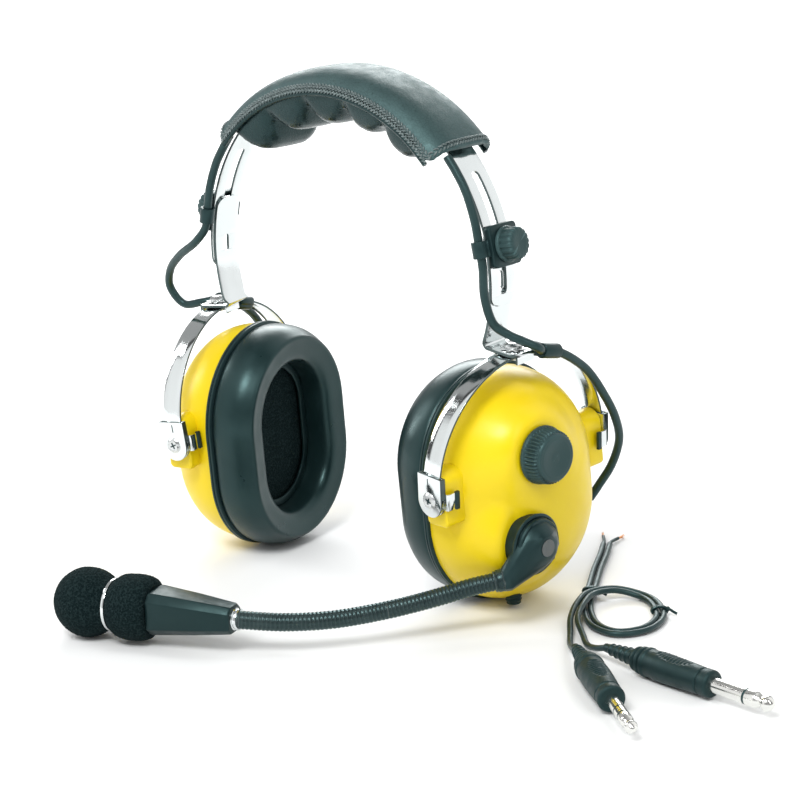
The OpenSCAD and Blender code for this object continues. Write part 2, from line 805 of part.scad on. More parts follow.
cable_drop(1);  // cable_drop_left
cable_drop(-1);  // cable_drop_right
cable_loop(1);  // cable_loop_left
cable_loop(-1);  // cable_loop_right
cable_tail(1);  // cable_tail_left
cable_tail(-1);  // cable_tail_right
volume_knob();
volume_pot();
terminal_board();
cord_gland();
boom_disc();
boom_housing();
boom_screw();
gooseneck_rear();
gooseneck_middle();
gooseneck_front();
mic_housing();
mic_capsule();
windscreen();
plug_handle(mic_plug_at, mic_plug_yaw);  // mic_plug_handle
plug_pin(mic_plug_at, mic_plug_yaw, mic_pin_d, 2);  // mic_plug_pin
plug_handle(phone_plug_at, phone_plug_yaw);  // phone_plug_handle
plug_pin(phone_plug_at, phone_plug_yaw, phone_pin_d, 1);  // phone_plug_pin
mic_lead();
phone_lead();
lead_ties();
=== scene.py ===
"""Aviation headset: every visible piece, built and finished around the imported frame. Metres, +Z up."""
import json
import math

import bmesh
import bpy
import numpy as np
from mathutils import Matrix, Vector, noise


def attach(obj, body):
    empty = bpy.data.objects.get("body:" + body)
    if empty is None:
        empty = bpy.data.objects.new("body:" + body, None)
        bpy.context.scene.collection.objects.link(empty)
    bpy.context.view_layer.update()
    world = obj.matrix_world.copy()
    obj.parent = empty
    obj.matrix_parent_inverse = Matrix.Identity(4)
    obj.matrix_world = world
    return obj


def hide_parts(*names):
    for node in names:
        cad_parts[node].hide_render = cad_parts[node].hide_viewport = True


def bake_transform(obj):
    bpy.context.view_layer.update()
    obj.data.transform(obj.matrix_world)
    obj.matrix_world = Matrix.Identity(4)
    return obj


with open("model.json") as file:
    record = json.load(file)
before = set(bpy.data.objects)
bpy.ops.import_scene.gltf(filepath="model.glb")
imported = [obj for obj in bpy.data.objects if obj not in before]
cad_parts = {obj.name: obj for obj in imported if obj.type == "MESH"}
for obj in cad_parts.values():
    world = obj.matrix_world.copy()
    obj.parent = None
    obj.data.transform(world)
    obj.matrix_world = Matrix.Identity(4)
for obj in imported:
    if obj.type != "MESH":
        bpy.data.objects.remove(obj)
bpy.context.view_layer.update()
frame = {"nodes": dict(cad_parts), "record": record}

# ---- sizes in millimetres, the same as the frame's ----------------------------------------------

MM = 0.001
BAND_R = 81.0
BAND_T = 1.2
BAND_W = 16.0
BAND_TIP = -6.5
SLOT_W = 4.5
SLOT_ANGLES = (-1.5, 33.0)
ARM_R = BAND_R - BAND_T - 0.05
ARM_W = 14.5
ADJUSTER_ANGLE = 11.5
CUSHION_END = 41.0
CUSHION_W = 42.0
CROWN_R = 87.0
DRAPE = 9.2
DRAPE_POWER = 4.2
STITCH_LENGTH = 2.2
STITCH_R = 0.42
PAD_END = 45.6
PAD_HALF = 19.0
ROLL_ANGLES = [55.0 + 17.5 * i for i in range(5)]
SEAL_R = 41.0
SEAL_T = 20.0
SPINE = 21.0
FLANGE_R = 42.5
PLATE_T = 3.0
DOME_BASE = SEAL_T + PLATE_T
CUP_DEPTH = 58.0
PIVOT_DEPTH = 35.0
PIVOT_Z = 9.3
STIRRUP_R = 49.5
STIRRUP_DROP = 52.0
STRAP_W = 9.5
PLATE_IN = 47.3
PLATE_OUT = 49.6
BOSS_HALF = 6.25
BOSS_UP = 12.5
FOAM_R = 24.0
CLIP_W = 13.6
CABLE_D = 3.8
CABLE_CLIP = (80.5, -12.0)
STRAP_CLIP_Y = 14.0
STRAP_CLIP_X = 7.3
VOLUME_AT = (-7.0, 21.0)
BOOM_AT = (-16.0, -16.0)
BOOM_FACE = CUP_DEPTH + 2.8
NECK_R = 3.55
NECK_PITCH = 1.7
LEAD_D = 2.6
LEAD_Z = 1.95
LEAD_PITCH = 1.5
HANDLE_X = 17.0
PIN_X = 58.0
PIN_TIP = 22.0
RING_PITCH = 5.5

SIDES = {"left": 1, "right": -1}

# ---- places -------------------------------------------------------------------------------------


def turn(axis, degrees):
    return Matrix.Rotation(math.radians(degrees), 4, axis)


def shift(x, y, z):
    return Matrix.Translation((x, y, z))


TOE, RAKE, CANT = 8.0, 5.0, 5.0
cup_height = FLANGE_R + SPINE / 2 * math.cos(math.radians(RAKE))
rivet_height = cup_height + (STIRRUP_DROP * math.cos(math.radians(CANT)) + PIVOT_Z) * math.cos(
    math.radians(RAKE))
band_height = rivet_height + 28.5

STIRRUP = shift(86, 0, rivet_height) @ turn("Z", -TOE) @ turn("X", RAKE) @ turn("Y", CANT)
PIVOT = STIRRUP @ shift(0, 0, -STIRRUP_DROP)
CUP = PIVOT @ turn("Y", -CANT) @ shift(-PIVOT_DEPTH, 0, -PIVOT_Z)
MIC = shift(-42, -131, 15.02) @ turn("Z", 17)
UPRIGHT = turn("Y", -90)


def at_band(angle):
    """x points out along the band's radius and z along the band."""
    return shift(0, 0, band_height) @ turn("Y", -angle)


def in_plug(at, yaw):
    return shift(*at) @ turn("Z", yaw)


def along(start, aim):
    """x runs from start in the direction aim."""
    return Matrix.Translation(start) @ Vector(aim).to_track_quat("X", "Z").to_matrix().to_4x4()


def to_world(side=1, place=Matrix()):
    return Matrix.Scale(MM, 4) @ Matrix.Diagonal((side, 1, 1, 1)) @ place


def above_band(x, y, z):
    """A point whose height is counted from the band's centre."""
    return (x, y, band_height + z)


def arc_point(radius, angle, y=0):
    """A point on an arc about the band's centre, its angle in radians from +X."""
    return (radius * math.cos(angle), y, band_height + radius * math.sin(angle))


# ---- the cords' and cables' routes, point for point as in the frame -----------------------------

DROP = [above_band(*p) for p in ((62.4, -11.5, 53.5), (67, -11.5, 47.6), (72, -11.7, 39.8),
                                 (76.4, -12, 28.5), (78.6, -12, 17.6))]
LOOP = {
    "left": [above_band(*p) for p in (
        (79, -12, 15.6), (80.3, -12, 8), (80.5, -11.5, -4), (82.5, -9, -15), (87, -5, -20),
        (92.5, -1.5, -23), (96.9, 3.2, -26.2), (94.7, 8.6, -28.8), (95, 13, -29.7))],
    "right": [above_band(*p) for p in (
        (79, -12, 15.6), (80.6, -12.2, 9.5), (87, -13, 2.5), (100, -10, -5), (111, -6, -13.5),
        (115, -3, -23), (109.5, 0, -31), (100, 2.4, -29.6), (94.8, 6.4, -28.4), (94.5, 8.7, -28.8),
        (95, 13, -29.7))],
}
TAIL = [(7.3, 14.3, -1.9), (7.3, 18.5, -3.2), (8.2, 27, -8.8), (8.8, 36, -17), (9.8, 44, -29),
        (10.2, 51, -42), (8, 56, -55), (4, 55.5, -68), (1, 50, -77.5), (0, 45.3, -82.6)]
NECK = [(100, -28, 23.5), (91, -37.5, 21.3), (81, -50, 18), (69, -67, 15.2), (56, -85, 13.8),
        (42, -100, 14.1), (26.5, -110.4, 15)]
LEAD = [(70, 88, 0), (78, 74, 0), (87, 57, 0), (98, 38, 0), (107, 22, 0), (117, 8, 0), (129, -3, 0),
        (141, -5, 0), (148, 5, 0), (146, 19, 0), (137, 31, 0), (126, 38, 0), (114, 34, 2.2),
        (109, 22, 3.2), (113, 8, 3.2), (120, -6, 2.2)]
MIC_LEAD_END = [(126, -17, 0), (132.5, -26, 0), (139.5, -34, 2.05), (144.4, -38.3, 4.35)]
PHONE_LEAD_END = [(131, -15, 0), (139.5, -23.5, 0), (148, -29.3, 2.25), (154.4, -31.1, 4.35)]
LEAD_TIES = [(102.6, 30, -59), (140.9, 26.6, -49)]
MIC_PLUG = ((144, -38, 6.3), -40)
PHONE_PLUG = ((154, -31, 6.3), -9)


def unit(v):
    v = np.asarray(v, float)
    return v / np.linalg.norm(v)


def smooth(route, steps):
    """The curve through the route's points, with so many steps to each stretch."""
    p = np.asarray(route, float)
    last = len(p) - 1
    points = []
    for i in range(last):
        a, b, c, d = p[max(i - 1, 0)], p[i], p[i + 1], p[min(i + 2, last)]
        for t in np.arange(steps) / steps:
            points.append(0.5 * (2 * b + (c - a) * t + (2 * a - 5 * b + 4 * c - d) * t * t
                                 + (3 * b - a - 3 * c + d) * t ** 3))
    points.append(p[last])
    return np.array(points)


def run_of(line):
    """How far along the line each of its points lies."""
    return np.concatenate([[0], np.cumsum(np.linalg.norm(np.diff(line, axis=0), axis=1))])


def even(points, step):
    """The same line with its points a step apart."""
    points = np.asarray(points, float)
    gone = run_of(points)
    wanted = np.linspace(0, gone[-1], max(2, int(round(gone[-1] / step)) + 1))
    return np.array([np.interp(wanted, gone, points[:, k]) for k in range(points.shape[1])]).T


def tangents(points):
    ahead = np.roll(points, -1, axis=0)
    behind = np.roll(points, 1, axis=0)
    ahead[-1], behind[0] = points[-1], points[0]
    lines = ahead - behind
    return lines / np.linalg.norm(lines, axis=1)[:, None]


def beside(route, by):
    """The shared route moved sideways, for one cord of the pair."""
    route = np.asarray(route, float)
    across = np.cross([0, 0, 1], tangents(route))
    return route + by * across / np.linalg.norm(across, axis=1)[:, None]


def put(name, data):
    """A new object in the scene."""
    thing = bpy.data.objects.new(name, data)
    bpy.context.scene.collection.objects.link(thing)
    return thing


# ---- materials ----------------------------------------------------------------------------------


class Look:
    """A procedural material, built up node by node."""

    def __init__(self, name, colour, roughness, metallic=0.0, specular=0.5):
        self.material = bpy.data.materials.new(name)
        self.material.use_nodes = True
        self.nodes = self.material.node_tree.nodes
        self.links = self.material.node_tree.links
        self.shader = self.nodes["Principled BSDF"]
        self.shader.inputs["Base Color"].default_value = (*colour, 1)
        self.shader.inputs["Roughness"].default_value = roughness
        self.shader.inputs["Metallic"].default_value = metallic
        self.shader.inputs["Specular IOR Level"].default_value = specular
        if max(colour) < 0.05:
            self.shader.inputs["Specular Tint"].default_value = (0.6, 1, 1, 1)
        self.colour = None
        self.height = None
        self.place = self.nodes.new("ShaderNodeTexCoord").outputs["Object"]

    def stretched(self, x, y, z):
        mapping = self.nodes.new("ShaderNodeMapping")
        mapping.inputs["Scale"].default_value = (x, y, z)
        self.links.new(self.place, mapping.inputs["Vector"])
        return mapping.outputs["Vector"]

    def noise(self, scale, detail=3.0, rough=0.55, at=None):
        node = self.nodes.new("ShaderNodeTexNoise")
        node.inputs["Scale"].default_value = scale
        node.inputs["Detail"].default_value = detail
        node.inputs["Roughness"].default_value = rough
        self.links.new(at or self.place, node.inputs["Vector"])
        return node.outputs["Fac"]

    def cells(self, scale, feature="F1"):
        node = self.nodes.new("ShaderNodeTexVoronoi")
        node.feature = feature
        node.inputs["Scale"].default_value = scale
        self.links.new(self.place, node.inputs["Vector"])
        return node.outputs["Distance"]

    def between(self, value, low, high, to_low, to_high):
        node = self.nodes.new("ShaderNodeMapRange")
        for socket, number in (("From Min", low), ("From Max", high), ("To Min", to_low),
                               ("To Max", to_high)):
            node.inputs[socket].default_value = number
        self.links.new(value, node.inputs["Value"])
        return node.outputs["Result"]

    def tint(self, value, colour, low=0.4, high=0.7, amount=1.0):
        """Mixes a second colour in where value is high."""
        node = self.nodes.new("ShaderNodeMix")
        node.data_type = "RGBA"
        if self.colour is None:
            node.inputs["A"].default_value = self.shader.inputs["Base Color"].default_value
        else:
            self.links.new(self.colour, node.inputs["A"])
        node.inputs["B"].default_value = (*colour, 1)
        self.links.new(self.between(value, low, high, 0, amount), node.inputs["Factor"])
        self.colour = node.outputs["Result"]
        self.links.new(self.colour, self.shader.inputs["Base Color"])
        return self

    def gloss(self, value, low, high, from_low=0.3, from_high=0.7):
        """Roughness that runs from low to high with value."""
        self.links.new(self.between(value, from_low, from_high, low, high),
                       self.shader.inputs["Roughness"])
        return self

    def bump(self, value, height, strength=1.0):
        """Adds a relief of that height in millimetres."""
        node = self.nodes.new("ShaderNodeBump")
        node.inputs["Strength"].default_value = strength
        node.inputs["Distance"].default_value = height * MM
        self.links.new(value, node.inputs["Height"])
        if self.height is not None:
            self.links.new(self.height, node.inputs["Normal"])
        self.height = node.outputs["Normal"]
        self.links.new(self.height, self.shader.inputs["Normal"])
        return self

    def worn(self, colour, amount=0.6, low=0.53, high=0.6):
        """Rubs the sharp edges lighter."""
        edge = self.nodes.new("ShaderNodeNewGeometry").outputs["Pointiness"]
        return self.tint(edge, colour, low, high, amount)


def yellow_plastic():
    look = Look("yellow_plastic", (0.81, 0.61, 0.003), 0.34, specular=0.3)
    look.tint(look.noise(28, 4), (0.76, 0.55, 0.002), 0.35, 0.75)
    look.tint(look.noise(900, 2), (0.9, 0.7, 0.01), 0.62, 0.8, 0.35)
    look.gloss(look.noise(160, 5), 0.3, 0.44)
    look.bump(look.noise(1500, 3), 0.02, 0.5)
    look.bump(look.noise(70, 2), 0.05, 0.25)
    look.shader.inputs["Coat Weight"].default_value = 0.15
    look.shader.inputs["Coat Roughness"].default_value = 0.3
    return look.material


def moulded_plastic(name, colour, roughness, grain):
    look = Look(name, colour, roughness, specular=0.4)
    lighter = tuple(c * 1.9 + 0.004 for c in colour)
    look.tint(look.noise(60, 4), lighter, 0.45, 0.85, 0.6)
    look.gloss(look.noise(240, 4), roughness - 0.08, roughness + 0.1)
    look.bump(look.noise(grain, 3), 0.04, 0.6)
    look.worn(tuple(c * 4 + 0.02 for c in colour), 0.4)
    return look.material


def vinyl():
    look = Look("seal_vinyl", (0.006, 0.016, 0.017), 0.34, specular=0.42)
    look.tint(look.noise(40, 3), (0.011, 0.025, 0.026), 0.4, 0.8)
    look.gloss(look.noise(90, 4), 0.27, 0.4)
    look.bump(look.cells(1700), 0.03, 0.5)
    look.bump(look.noise(120, 3), 0.12, 0.25)
    return look.material


def leather(name, colour, roughness, wrinkles, specular):
    look = Look(name, colour, roughness, specular=specular)
    crease = look.cells(620, "DISTANCE_TO_EDGE")
    look.tint(look.noise(55, 5), tuple(c * 1.6 + 0.006 for c in colour), 0.4, 0.8, 0.8)
    look.tint(crease, tuple(c * 0.4 for c in colour), 0.06, 0.0, 0.9)
    look.gloss(look.noise(200, 5), roughness - 0.07, roughness + 0.1)
    look.bump(look.between(crease, 0.0, 0.16, 0, 1), 0.06, 0.5)
    look.bump(look.noise(2300, 2), 0.02, 0.4)
    look.bump(look.noise(75, 4, at=look.stretched(1, 0.45, 1)), wrinkles, 0.6)
    return look.material


def foam():
    look = Look("foam", (0.003, 0.008, 0.009), 0.95, specular=0.12)
    pores = look.cells(1150)
    look.tint(pores, (0.012, 0.022, 0.023), 0.42, 0.75)
    look.tint(look.noise(2600, 2), (0.05, 0.075, 0.076), 0.62, 0.75, 0.6)
    look.bump(pores, 0.5, 1.0)
    look.bump(look.noise(3000, 3), 0.2, 0.8)
    return look.material


def cable_rubber():
    look = Look("cable_rubber", (0.008, 0.018, 0.019), 0.4)
    look.tint(look.noise(90, 3), (0.014, 0.028, 0.029), 0.4, 0.8)
    look.gloss(look.noise(400, 3), 0.32, 0.48)
    look.bump(look.noise(900, 3), 0.05, 0.5)
    return look.material


def polished(name, colour, roughness, scratches):
    look = Look(name, colour, roughness, metallic=1.0)
    lines = look.noise(90, 6, 0.7, at=look.stretched(1, 26, 1))
    look.tint(look.noise(35, 4), tuple(c * 0.86 for c in colour), 0.45, 0.75, 0.6)
    look.gloss(lines, roughness * 0.6, roughness * 1.8)
    look.bump(lines, scratches, 0.35)
    return look.material


def gooseneck_coat():
    look = Look("gooseneck_coat", (0.018, 0.028, 0.029), 0.3, metallic=0.35)
    look.tint(look.noise(130, 4), (0.035, 0.05, 0.051), 0.45, 0.8)
    look.gloss(look.noise(300, 4), 0.22, 0.36)
    look.bump(look.noise(1400, 2), 0.02, 0.5)
    look.worn((0.22, 0.25, 0.25), 0.5)
    return look.material


def thread():
    look = Look("thread", (0.07, 0.1, 0.1), 0.4)
    # painted highlight: lighter flecks on the thread stand in for the glints on its stitches
    look.tint(look.noise(1800, 3), (0.3, 0.36, 0.36), 0.5, 0.75)
    look.bump(look.noise(3600, 2, at=look.stretched(1, 1, 3)), 0.12, 0.9)
    return look.material


def circuit_board():
    look = Look("circuit_board", (0.01, 0.09, 0.035), 0.4)
    look.tint(look.cells(420, "DISTANCE_TO_EDGE"), (0.03, 0.18, 0.06), 0.05, 0.1)
    look.bump(look.noise(500, 2), 0.03)
    return look.material


def copper():
    look = Look("copper", (0.75, 0.36, 0.16), 0.3, metallic=1.0)
    look.tint(look.noise(600, 3), (0.5, 0.22, 0.1), 0.4, 0.7)
    look.bump(look.noise(1500, 2, at=look.stretched(1, 1, 4)), 0.06, 0.8)
    return look.material


YELLOW = yellow_plastic()
BLACK = moulded_plastic("black_plastic", (0.003, 0.01, 0.011), 0.36, 1300)
KNOB = moulded_plastic("knob_plastic", (0.018, 0.036, 0.037), 0.4, 1700)
RUBBER = moulded_plastic("plug_rubber", (0.006, 0.015, 0.016), 0.48, 2400)
FRAME_PLASTIC = moulded_plastic("speaker_frame", (0.1, 0.1, 0.095), 0.5, 900)
VINYL = vinyl()
LEATHER = leather("cover_leather", (0.022, 0.04, 0.041), 0.5, 0.3, 0.7)
PAD_LEATHER = leather("pad_leather", (0.004, 0.011, 0.012), 0.25, 0.25, 0.4)
FOAM = foam()
CABLE = cable_rubber()
CHROME = polished("chrome", (0.75, 0.79, 0.79), 0.09, 0.01)
# painted reflection: a dark metal for the strips' narrow edges, standing in for the dark surroundings that
# they mirror
PAINTED_DARK_EDGE = polished("painted_dark_edge", (0.1, 0.13, 0.13), 0.35, 0.03)
STEEL = polished("steel", (0.62, 0.64, 0.64), 0.22, 0.02)
NICKEL = polished("nickel", (0.8, 0.8, 0.77), 0.15, 0.01)
DARK_METAL = polished("dark_screw", (0.12, 0.13, 0.13), 0.3, 0.02)
GOOSENECK = gooseneck_coat()
THREAD = thread()
BOARD = circuit_board()
COPPER = copper()

SLOT_LOOKS = {"chrome": CHROME, "steel": STEEL, "leather": LEATHER, "vinyl": VINYL,
              "black_plastic": BLACK, "knob_plastic": KNOB, "yellow_shell": YELLOW,
              "cable_jacket": CABLE, "foam": FOAM, "speaker_frame": FRAME_PLASTIC,
              "circuit_board": BOARD, "black_screw": DARK_METAL, "gooseneck_coat": GOOSENECK,
              "plug_rubber": RUBBER, "nickel": NICKEL}

# ---- stage, lights and camera -------------------------------------------------------------------


def make_camera():
    """Looks at the headset from its front left, a little above it."""
    azimuth, elevation, roll = (math.radians(a) for a in (40.64, 14.76, -1.9))
    distance = 1.0805
    right = Vector((math.cos(azimuth), math.sin(azimuth), 0))
    forward = Vector((-math.sin(azimuth) * math.cos(elevation),
                      math.cos(azimuth) * math.cos(elevation), -math.sin(elevation)))
    up = right.cross(forward)
    aim = 0.0171 * right + 0.077 * up
    across = math.cos(roll) * right + math.sin(roll) * up
    upward = math.cos(roll) * up - math.sin(roll) * right
    data = bpy.data.cameras.new("camera")
    data.lens = 107.06
    data.sensor_width = 36
    camera = put("camera", data)
    frame_of_view = Matrix((across, upward, -forward)).transposed().to_4x4()
    camera.matrix_world = Matrix.Translation(aim - distance * forward) @ frame_of_view
    bpy.context.scene.camera = camera


def make_floor():
    mesh = bpy.data.meshes.new("floor")
    half = 6.0
    mesh.from_pydata([(-half, -half, 0), (half, -half, 0), (half, half, 0), (-half, half, 0)], [],
                     [(0, 1, 2, 3)])
    floor = put("floor", mesh)
    look = Look("floor", (0.86, 0.87, 0.87), 0.75)
    look.tint(look.noise(3, 2), (0.83, 0.84, 0.84))
    away = look.nodes.new("ShaderNodeVectorMath")
    away.operation = "LENGTH"
    look.links.new(look.place, away.inputs[0])
    look.shader.inputs["Emission Color"].default_value = (1, 1, 1, 1)
    look.links.new(look.between(away.outputs["Value"], 0.3, 1.6, 0.0, 0.7),
                   look.shader.inputs["Emission Strength"])
    mesh.materials.append(look.material)


def make_world():
    """A bright studio with two darker flags, for the chrome to mirror."""
    world = bpy.data.worlds.new("studio")
    world.use_nodes = True
    bpy.context.scene.world = world
    nodes, links = world.node_tree.nodes, world.node_tree.links
    place = nodes.new("ShaderNodeTexCoord").outputs["Generated"]
    gradient = nodes.new("ShaderNodeTexGradient")
    gradient.gradient_type = "RADIAL"
    links.new(place, gradient.inputs["Vector"])
    ramp = nodes.new("ShaderNodeValToRGB")
    ramp.color_ramp.interpolation = "EASE"
    links.new(gradient.outputs["Fac"], ramp.inputs["Fac"])
    stops = [(0.0, 0.35), (0.04, 0.35), (0.055, 0.05), (0.085, 0.05), (0.1, 0.9), (0.2, 1.0),
             (0.25, 0.5), (0.32, 0.3), (0.44, 0.3), (0.48, 0.6), (0.51, 0.06), (0.55, 0.06),
             (0.575, 0.9), (0.64, 1.0), (0.72, 1.0), (0.78, 0.45), (1.0, 0.35)]
    ramp.color_ramp.elements[0].position = stops[0][0]
    ramp.color_ramp.elements[1].position = stops[-1][0]
    for position, _ in stops[1:-1]:
        ramp.color_ramp.elements.new(position)
    for element, (_, value) in zip(ramp.color_ramp.elements, stops):
        element.color = (value, value, value, 1)
    links.new(ramp.outputs["Color"], nodes["Background"].inputs["Color"])
    nodes["Background"].inputs["Strength"].default_value = 1.1


def make_light(name, place, size, power, aim=(0, 0, 0.11)):
    data = bpy.data.lights.new(name, "AREA")
    data.shape = "RECTANGLE"
    data.size, data.size_y = size
    data.energy = power
    light = put(name, data)
    light.location = place
    light.rotation_euler = (Vector(aim) - Vector(place)).to_track_quat("-Z", "Y").to_euler()


make_camera()
make_floor()
make_world()
make_light("key", (0.35, -1.0, 1.25), (0.6, 0.5), 16)
make_light("fill", (-1.3, -0.5, 0.8), (0.3, 0.9), 8)
make_light("side", (1.15, -0.35, 0.9), (0.25, 0.8), 3.5)
make_light("rim", (-0.72, 0.92, 0.72), (1.0, 0.5), 13, (0, 0, 0.18))
bpy.context.scene.view_settings.view_transform = "Standard"

# ---- shapes: each returns its points, in millimetres, and its faces -----------------------------


def loft(rings, closed=False):
    """Skin over rings of equal length; a ring of one point is a tip."""
    points, starts = [], []
    for ring in rings:
        starts.append(len(points))
        points.extend(tuple(p) for p in ring)
    faces = []
    pairs = list(zip(range(len(rings)), range(1, len(rings))))
    if closed:
        pairs.append((len(rings) - 1, 0))
    for a, b in pairs:
        count = max(len(rings[a]), len(rings[b]))
        for k in range(count):
            after = (k + 1) % count
            face = [starts[a] + k % len(rings[a]), starts[b] + k % len(rings[b]),
                    starts[b] + after % len(rings[b]), starts[a] + after % len(rings[a])]
            faces.append(tuple(dict.fromkeys(face)))
    if not closed:
        for end, ring in ((0, rings[0]), (-1, rings[-1])):
            if len(ring) > 1:
                cap = [starts[end] + k for k in range(len(ring))]
                faces.append(tuple(cap if end else reversed(cap)))
    return points, faces


def lathe(profile, segments=64, ripple=None):
    """Turned shape along x from (x, radius) pairs; ripple(x, turn) adds to the radius."""
    rings = []
    for x, radius in profile:
        if radius <= 0:
            rings.append([(x, 0, 0)])
            continue
        ring = []
        for k in range(segments):
            angle = 2 * math.pi * k / segments
            r = radius + (ripple(x, angle) if ripple else 0)
            ring.append((x, r * math.cos(angle), r * math.sin(angle)))
        rings.append(ring)
    return loft(rings)


def tube(points, radius, sides=16):
    """Round tube along a line; radius is a number or one for each point."""
    points = np.asarray(points, float)
    ahead = tangents(points)
    radii = np.broadcast_to(radius, len(points))
    across = unit(np.cross(ahead[0], [0.31, 0.2, 0.93]))
    turns = np.linspace(0, 2 * math.pi, sides, endpoint=False)
    rings = []
    for p, t, r in zip(points, ahead, radii):
        across = unit(across - (across @ t) * t)
        other = np.cross(t, across)
        rings.append([p + r * (math.cos(a) * across + math.sin(a) * other) for a in turns])
    return loft(rings)


def prism(outline, low, high):
    """A flat outline in x and y, as thick as from low to high in z."""
    return loft([[(x, y, z) for x, y in outline] for z in (low, high)])


def moved(shape, place):
    points, faces = shape
    return [tuple(place @ Vector(p)) for p in points], faces


def joined(*shapes):
    points, faces = [], []
    for more_points, more_faces in shapes:
        start = len(points)
        points.extend(more_points)
        faces.extend(tuple(start + i for i in face) for face in more_faces)
    return points, faces


def rounded_outline(width, height, radius, steps=6):
    """Rectangle about the origin with round corners."""
    outline = []
    for corner in range(4):
        sx = 1 if corner in (0, 3) else -1
        sy = 1 if corner in (0, 1) else -1
        for k in range(steps + 1):
            angle = math.pi / 2 * (corner + k / steps)
            outline.append((sx * (width / 2 - radius) + radius * math.cos(angle),
                            sy * (height / 2 - radius) + radius * math.sin(angle)))
    return outline


def block(low, high, corner=1.0):
    """Box from low to high with its upright edges rounded."""
    outline = rounded_outline(high[0] - low[0], high[1] - low[1], corner)
    centre = shift((low[0] + high[0]) / 2, (low[1] + high[1]) / 2, 0)
    return moved(prism(outline, low[2], high[2]), centre)


def ribbon(rows):
    """A sheet from rows of points, to be thickened later."""
    points = [tuple(p) for row in rows for p in row]
    width = len(rows[0])
    faces = [(i * width + k, (i + 1) * width + k, (i + 1) * width + k + 1, i * width + k + 1)
             for i in range(len(rows) - 1) for k in range(width - 1)]
    return points, faces


def slotted_strip(place, length, half_width, slots, step=1.2):
    """Sheet strip with round-ended slots, each (start, end, half width) along the strip."""
    stops = set(np.arange(0, length, step)) | {length}
    stops |= {e for e in (0.25, 0.7, 1.4, 2.4, 3.6)} | {length - e for e in (0.25, 0.7, 1.4, 2.4, 3.6)}
    for start, end, half in slots:
        stops = {s for s in stops if not (start - half - 0.3 < s < start + 0.3
                                          or end - 0.3 < s < end + half + 0.3)}
        bends = [half * math.cos(math.pi / 2 * k / 6) for k in range(7)]
        stops |= {start - b for b in bends} | {end + b for b in bends}
    stops = sorted(stops)
    points, rows = [], []
    for s in stops:
        wide = half_width(s)
        opened, gap = False, 0.35 * wide
        for start, end, half in slots:
            past = max(start - s, s - end, 0)
            if past <= half + 1e-9:
                opened, gap = True, math.sqrt(max(half ** 2 - past ** 2, 0))
            elif past < 3 * half:
                gap = half
        offsets = [-wide, -gap, gap, wide] if gap > 1e-4 else [-wide, 0, wide]
        row = []
        for y in offsets:
            row.append(len(points))
            points.append(tuple(place(s, y)))
        if len(row) == 3:
            row.insert(2, row[1])
        rows.append((row, opened))
    faces = []
    for (low, low_open), (high, high_open) in zip(rows, rows[1:]):
        for k in range(3):
            if k == 1 and low_open and high_open:
                continue
            face = tuple(dict.fromkeys((low[k], high[k], high[k + 1], low[k + 1])))
            if len(face) > 2:
                faces.append(face)
    return points, faces


def stadium_ring(count):
    """Points round the cup's outline: the height on its spine, and the way out in y and z."""
    around = 2 * SPINE + 2 * math.pi * SEAL_R
    ring = []
    for k in range(count):
        s = around * k / count
        if s < SPINE:
            ring.append((s - SPINE / 2, 1, 0))
            continue
        s -= SPINE
        if s < math.pi * SEAL_R:
            a = s / SEAL_R
            ring.append((SPINE / 2, math.cos(a), math.sin(a)))
            continue
        s -= math.pi * SEAL_R
        if s < SPINE:
            ring.append((SPINE / 2 - s, -1, 0))
            continue
        a = math.pi + (s - SPINE) / SEAL_R
        ring.append((-SPINE / 2, math.cos(a), math.sin(a)))
    return ring


def round_the_cup(profile, count=176):
    """Carries (distance from the spine, depth) pairs round the cup's outline."""
    rings = [[(depth, r * dy, cz + r * dz) for r, depth in profile]
             for cz, dy, dz in stadium_ring(count)]
    return loft(rings, closed=True)


# ---- pieces -------------------------------------------------------------------------------------


def apply_modifiers(piece):
    graph = bpy.context.evaluated_depsgraph_get()
    made = bpy.data.meshes.new_from_object(piece.evaluated_get(graph))
    piece.modifiers.clear()
    old, piece.data = piece.data, made
    made.name = piece.name
    bpy.data.meshes.remove(old)


def build(name, shape, look, place=Matrix(), side=1, thick=0.0, bevel=0.0, subdivide=0,
          sharp=40, steps=2, painted_dark_faces=None):
    """Makes a piece from a shape at a place; the edge picker, given a face's normal, chooses the narrow
    edge faces that take a painted dark reflection.
    """
    points, faces = shape
    mesh = bpy.data.meshes.new(name)
    where = to_world(side, place)
    mesh.from_pydata([where @ Vector(p) for p in points], [], faces)
    bm = bmesh.new()
    bm.from_mesh(mesh)
    bmesh.ops.remove_doubles(bm, verts=bm.verts, dist=2e-6)
    bmesh.ops.recalc_face_normals(bm, faces=bm.faces)
    bm.to_mesh(mesh)
    bm.free()
    piece = put(name, mesh)
    if thick:
        solid = piece.modifiers.new("thickness", "SOLIDIFY")
        solid.thickness = thick * MM
        solid.offset = 0
        solid.use_even_offset = True
    if bevel:
        edge = piece.modifiers.new("edges", "BEVEL")
        edge.width = bevel * MM
        edge.segments = steps
        edge.limit_method = "ANGLE"
        edge.angle_limit = math.radians(35)
        edge.use_clamp_overlap = True
    if subdivide:
        smoother = piece.modifiers.new("smooth", "SUBSURF")
        smoother.levels = smoother.render_levels = subdivide
    if piece.modifiers:
        apply_modifiers(piece)
    piece.data.materials.clear()
    piece.data.materials.append(look)
    # painted reflection: the picked edge faces take the dark metal in place of chrome
    if painted_dark_faces:
        piece.data.materials.append(PAINTED_DARK_EDGE)
        back = where.to_3x3().inverted()
        for face in piece.data.polygons:
            if painted_dark_faces((back @ face.normal).normalized()):
                face.material_index = 1
    piece.data.shade_smooth()
    piece.data.set_sharp_from_angle(angle=math.radians(sharp))
    return piece


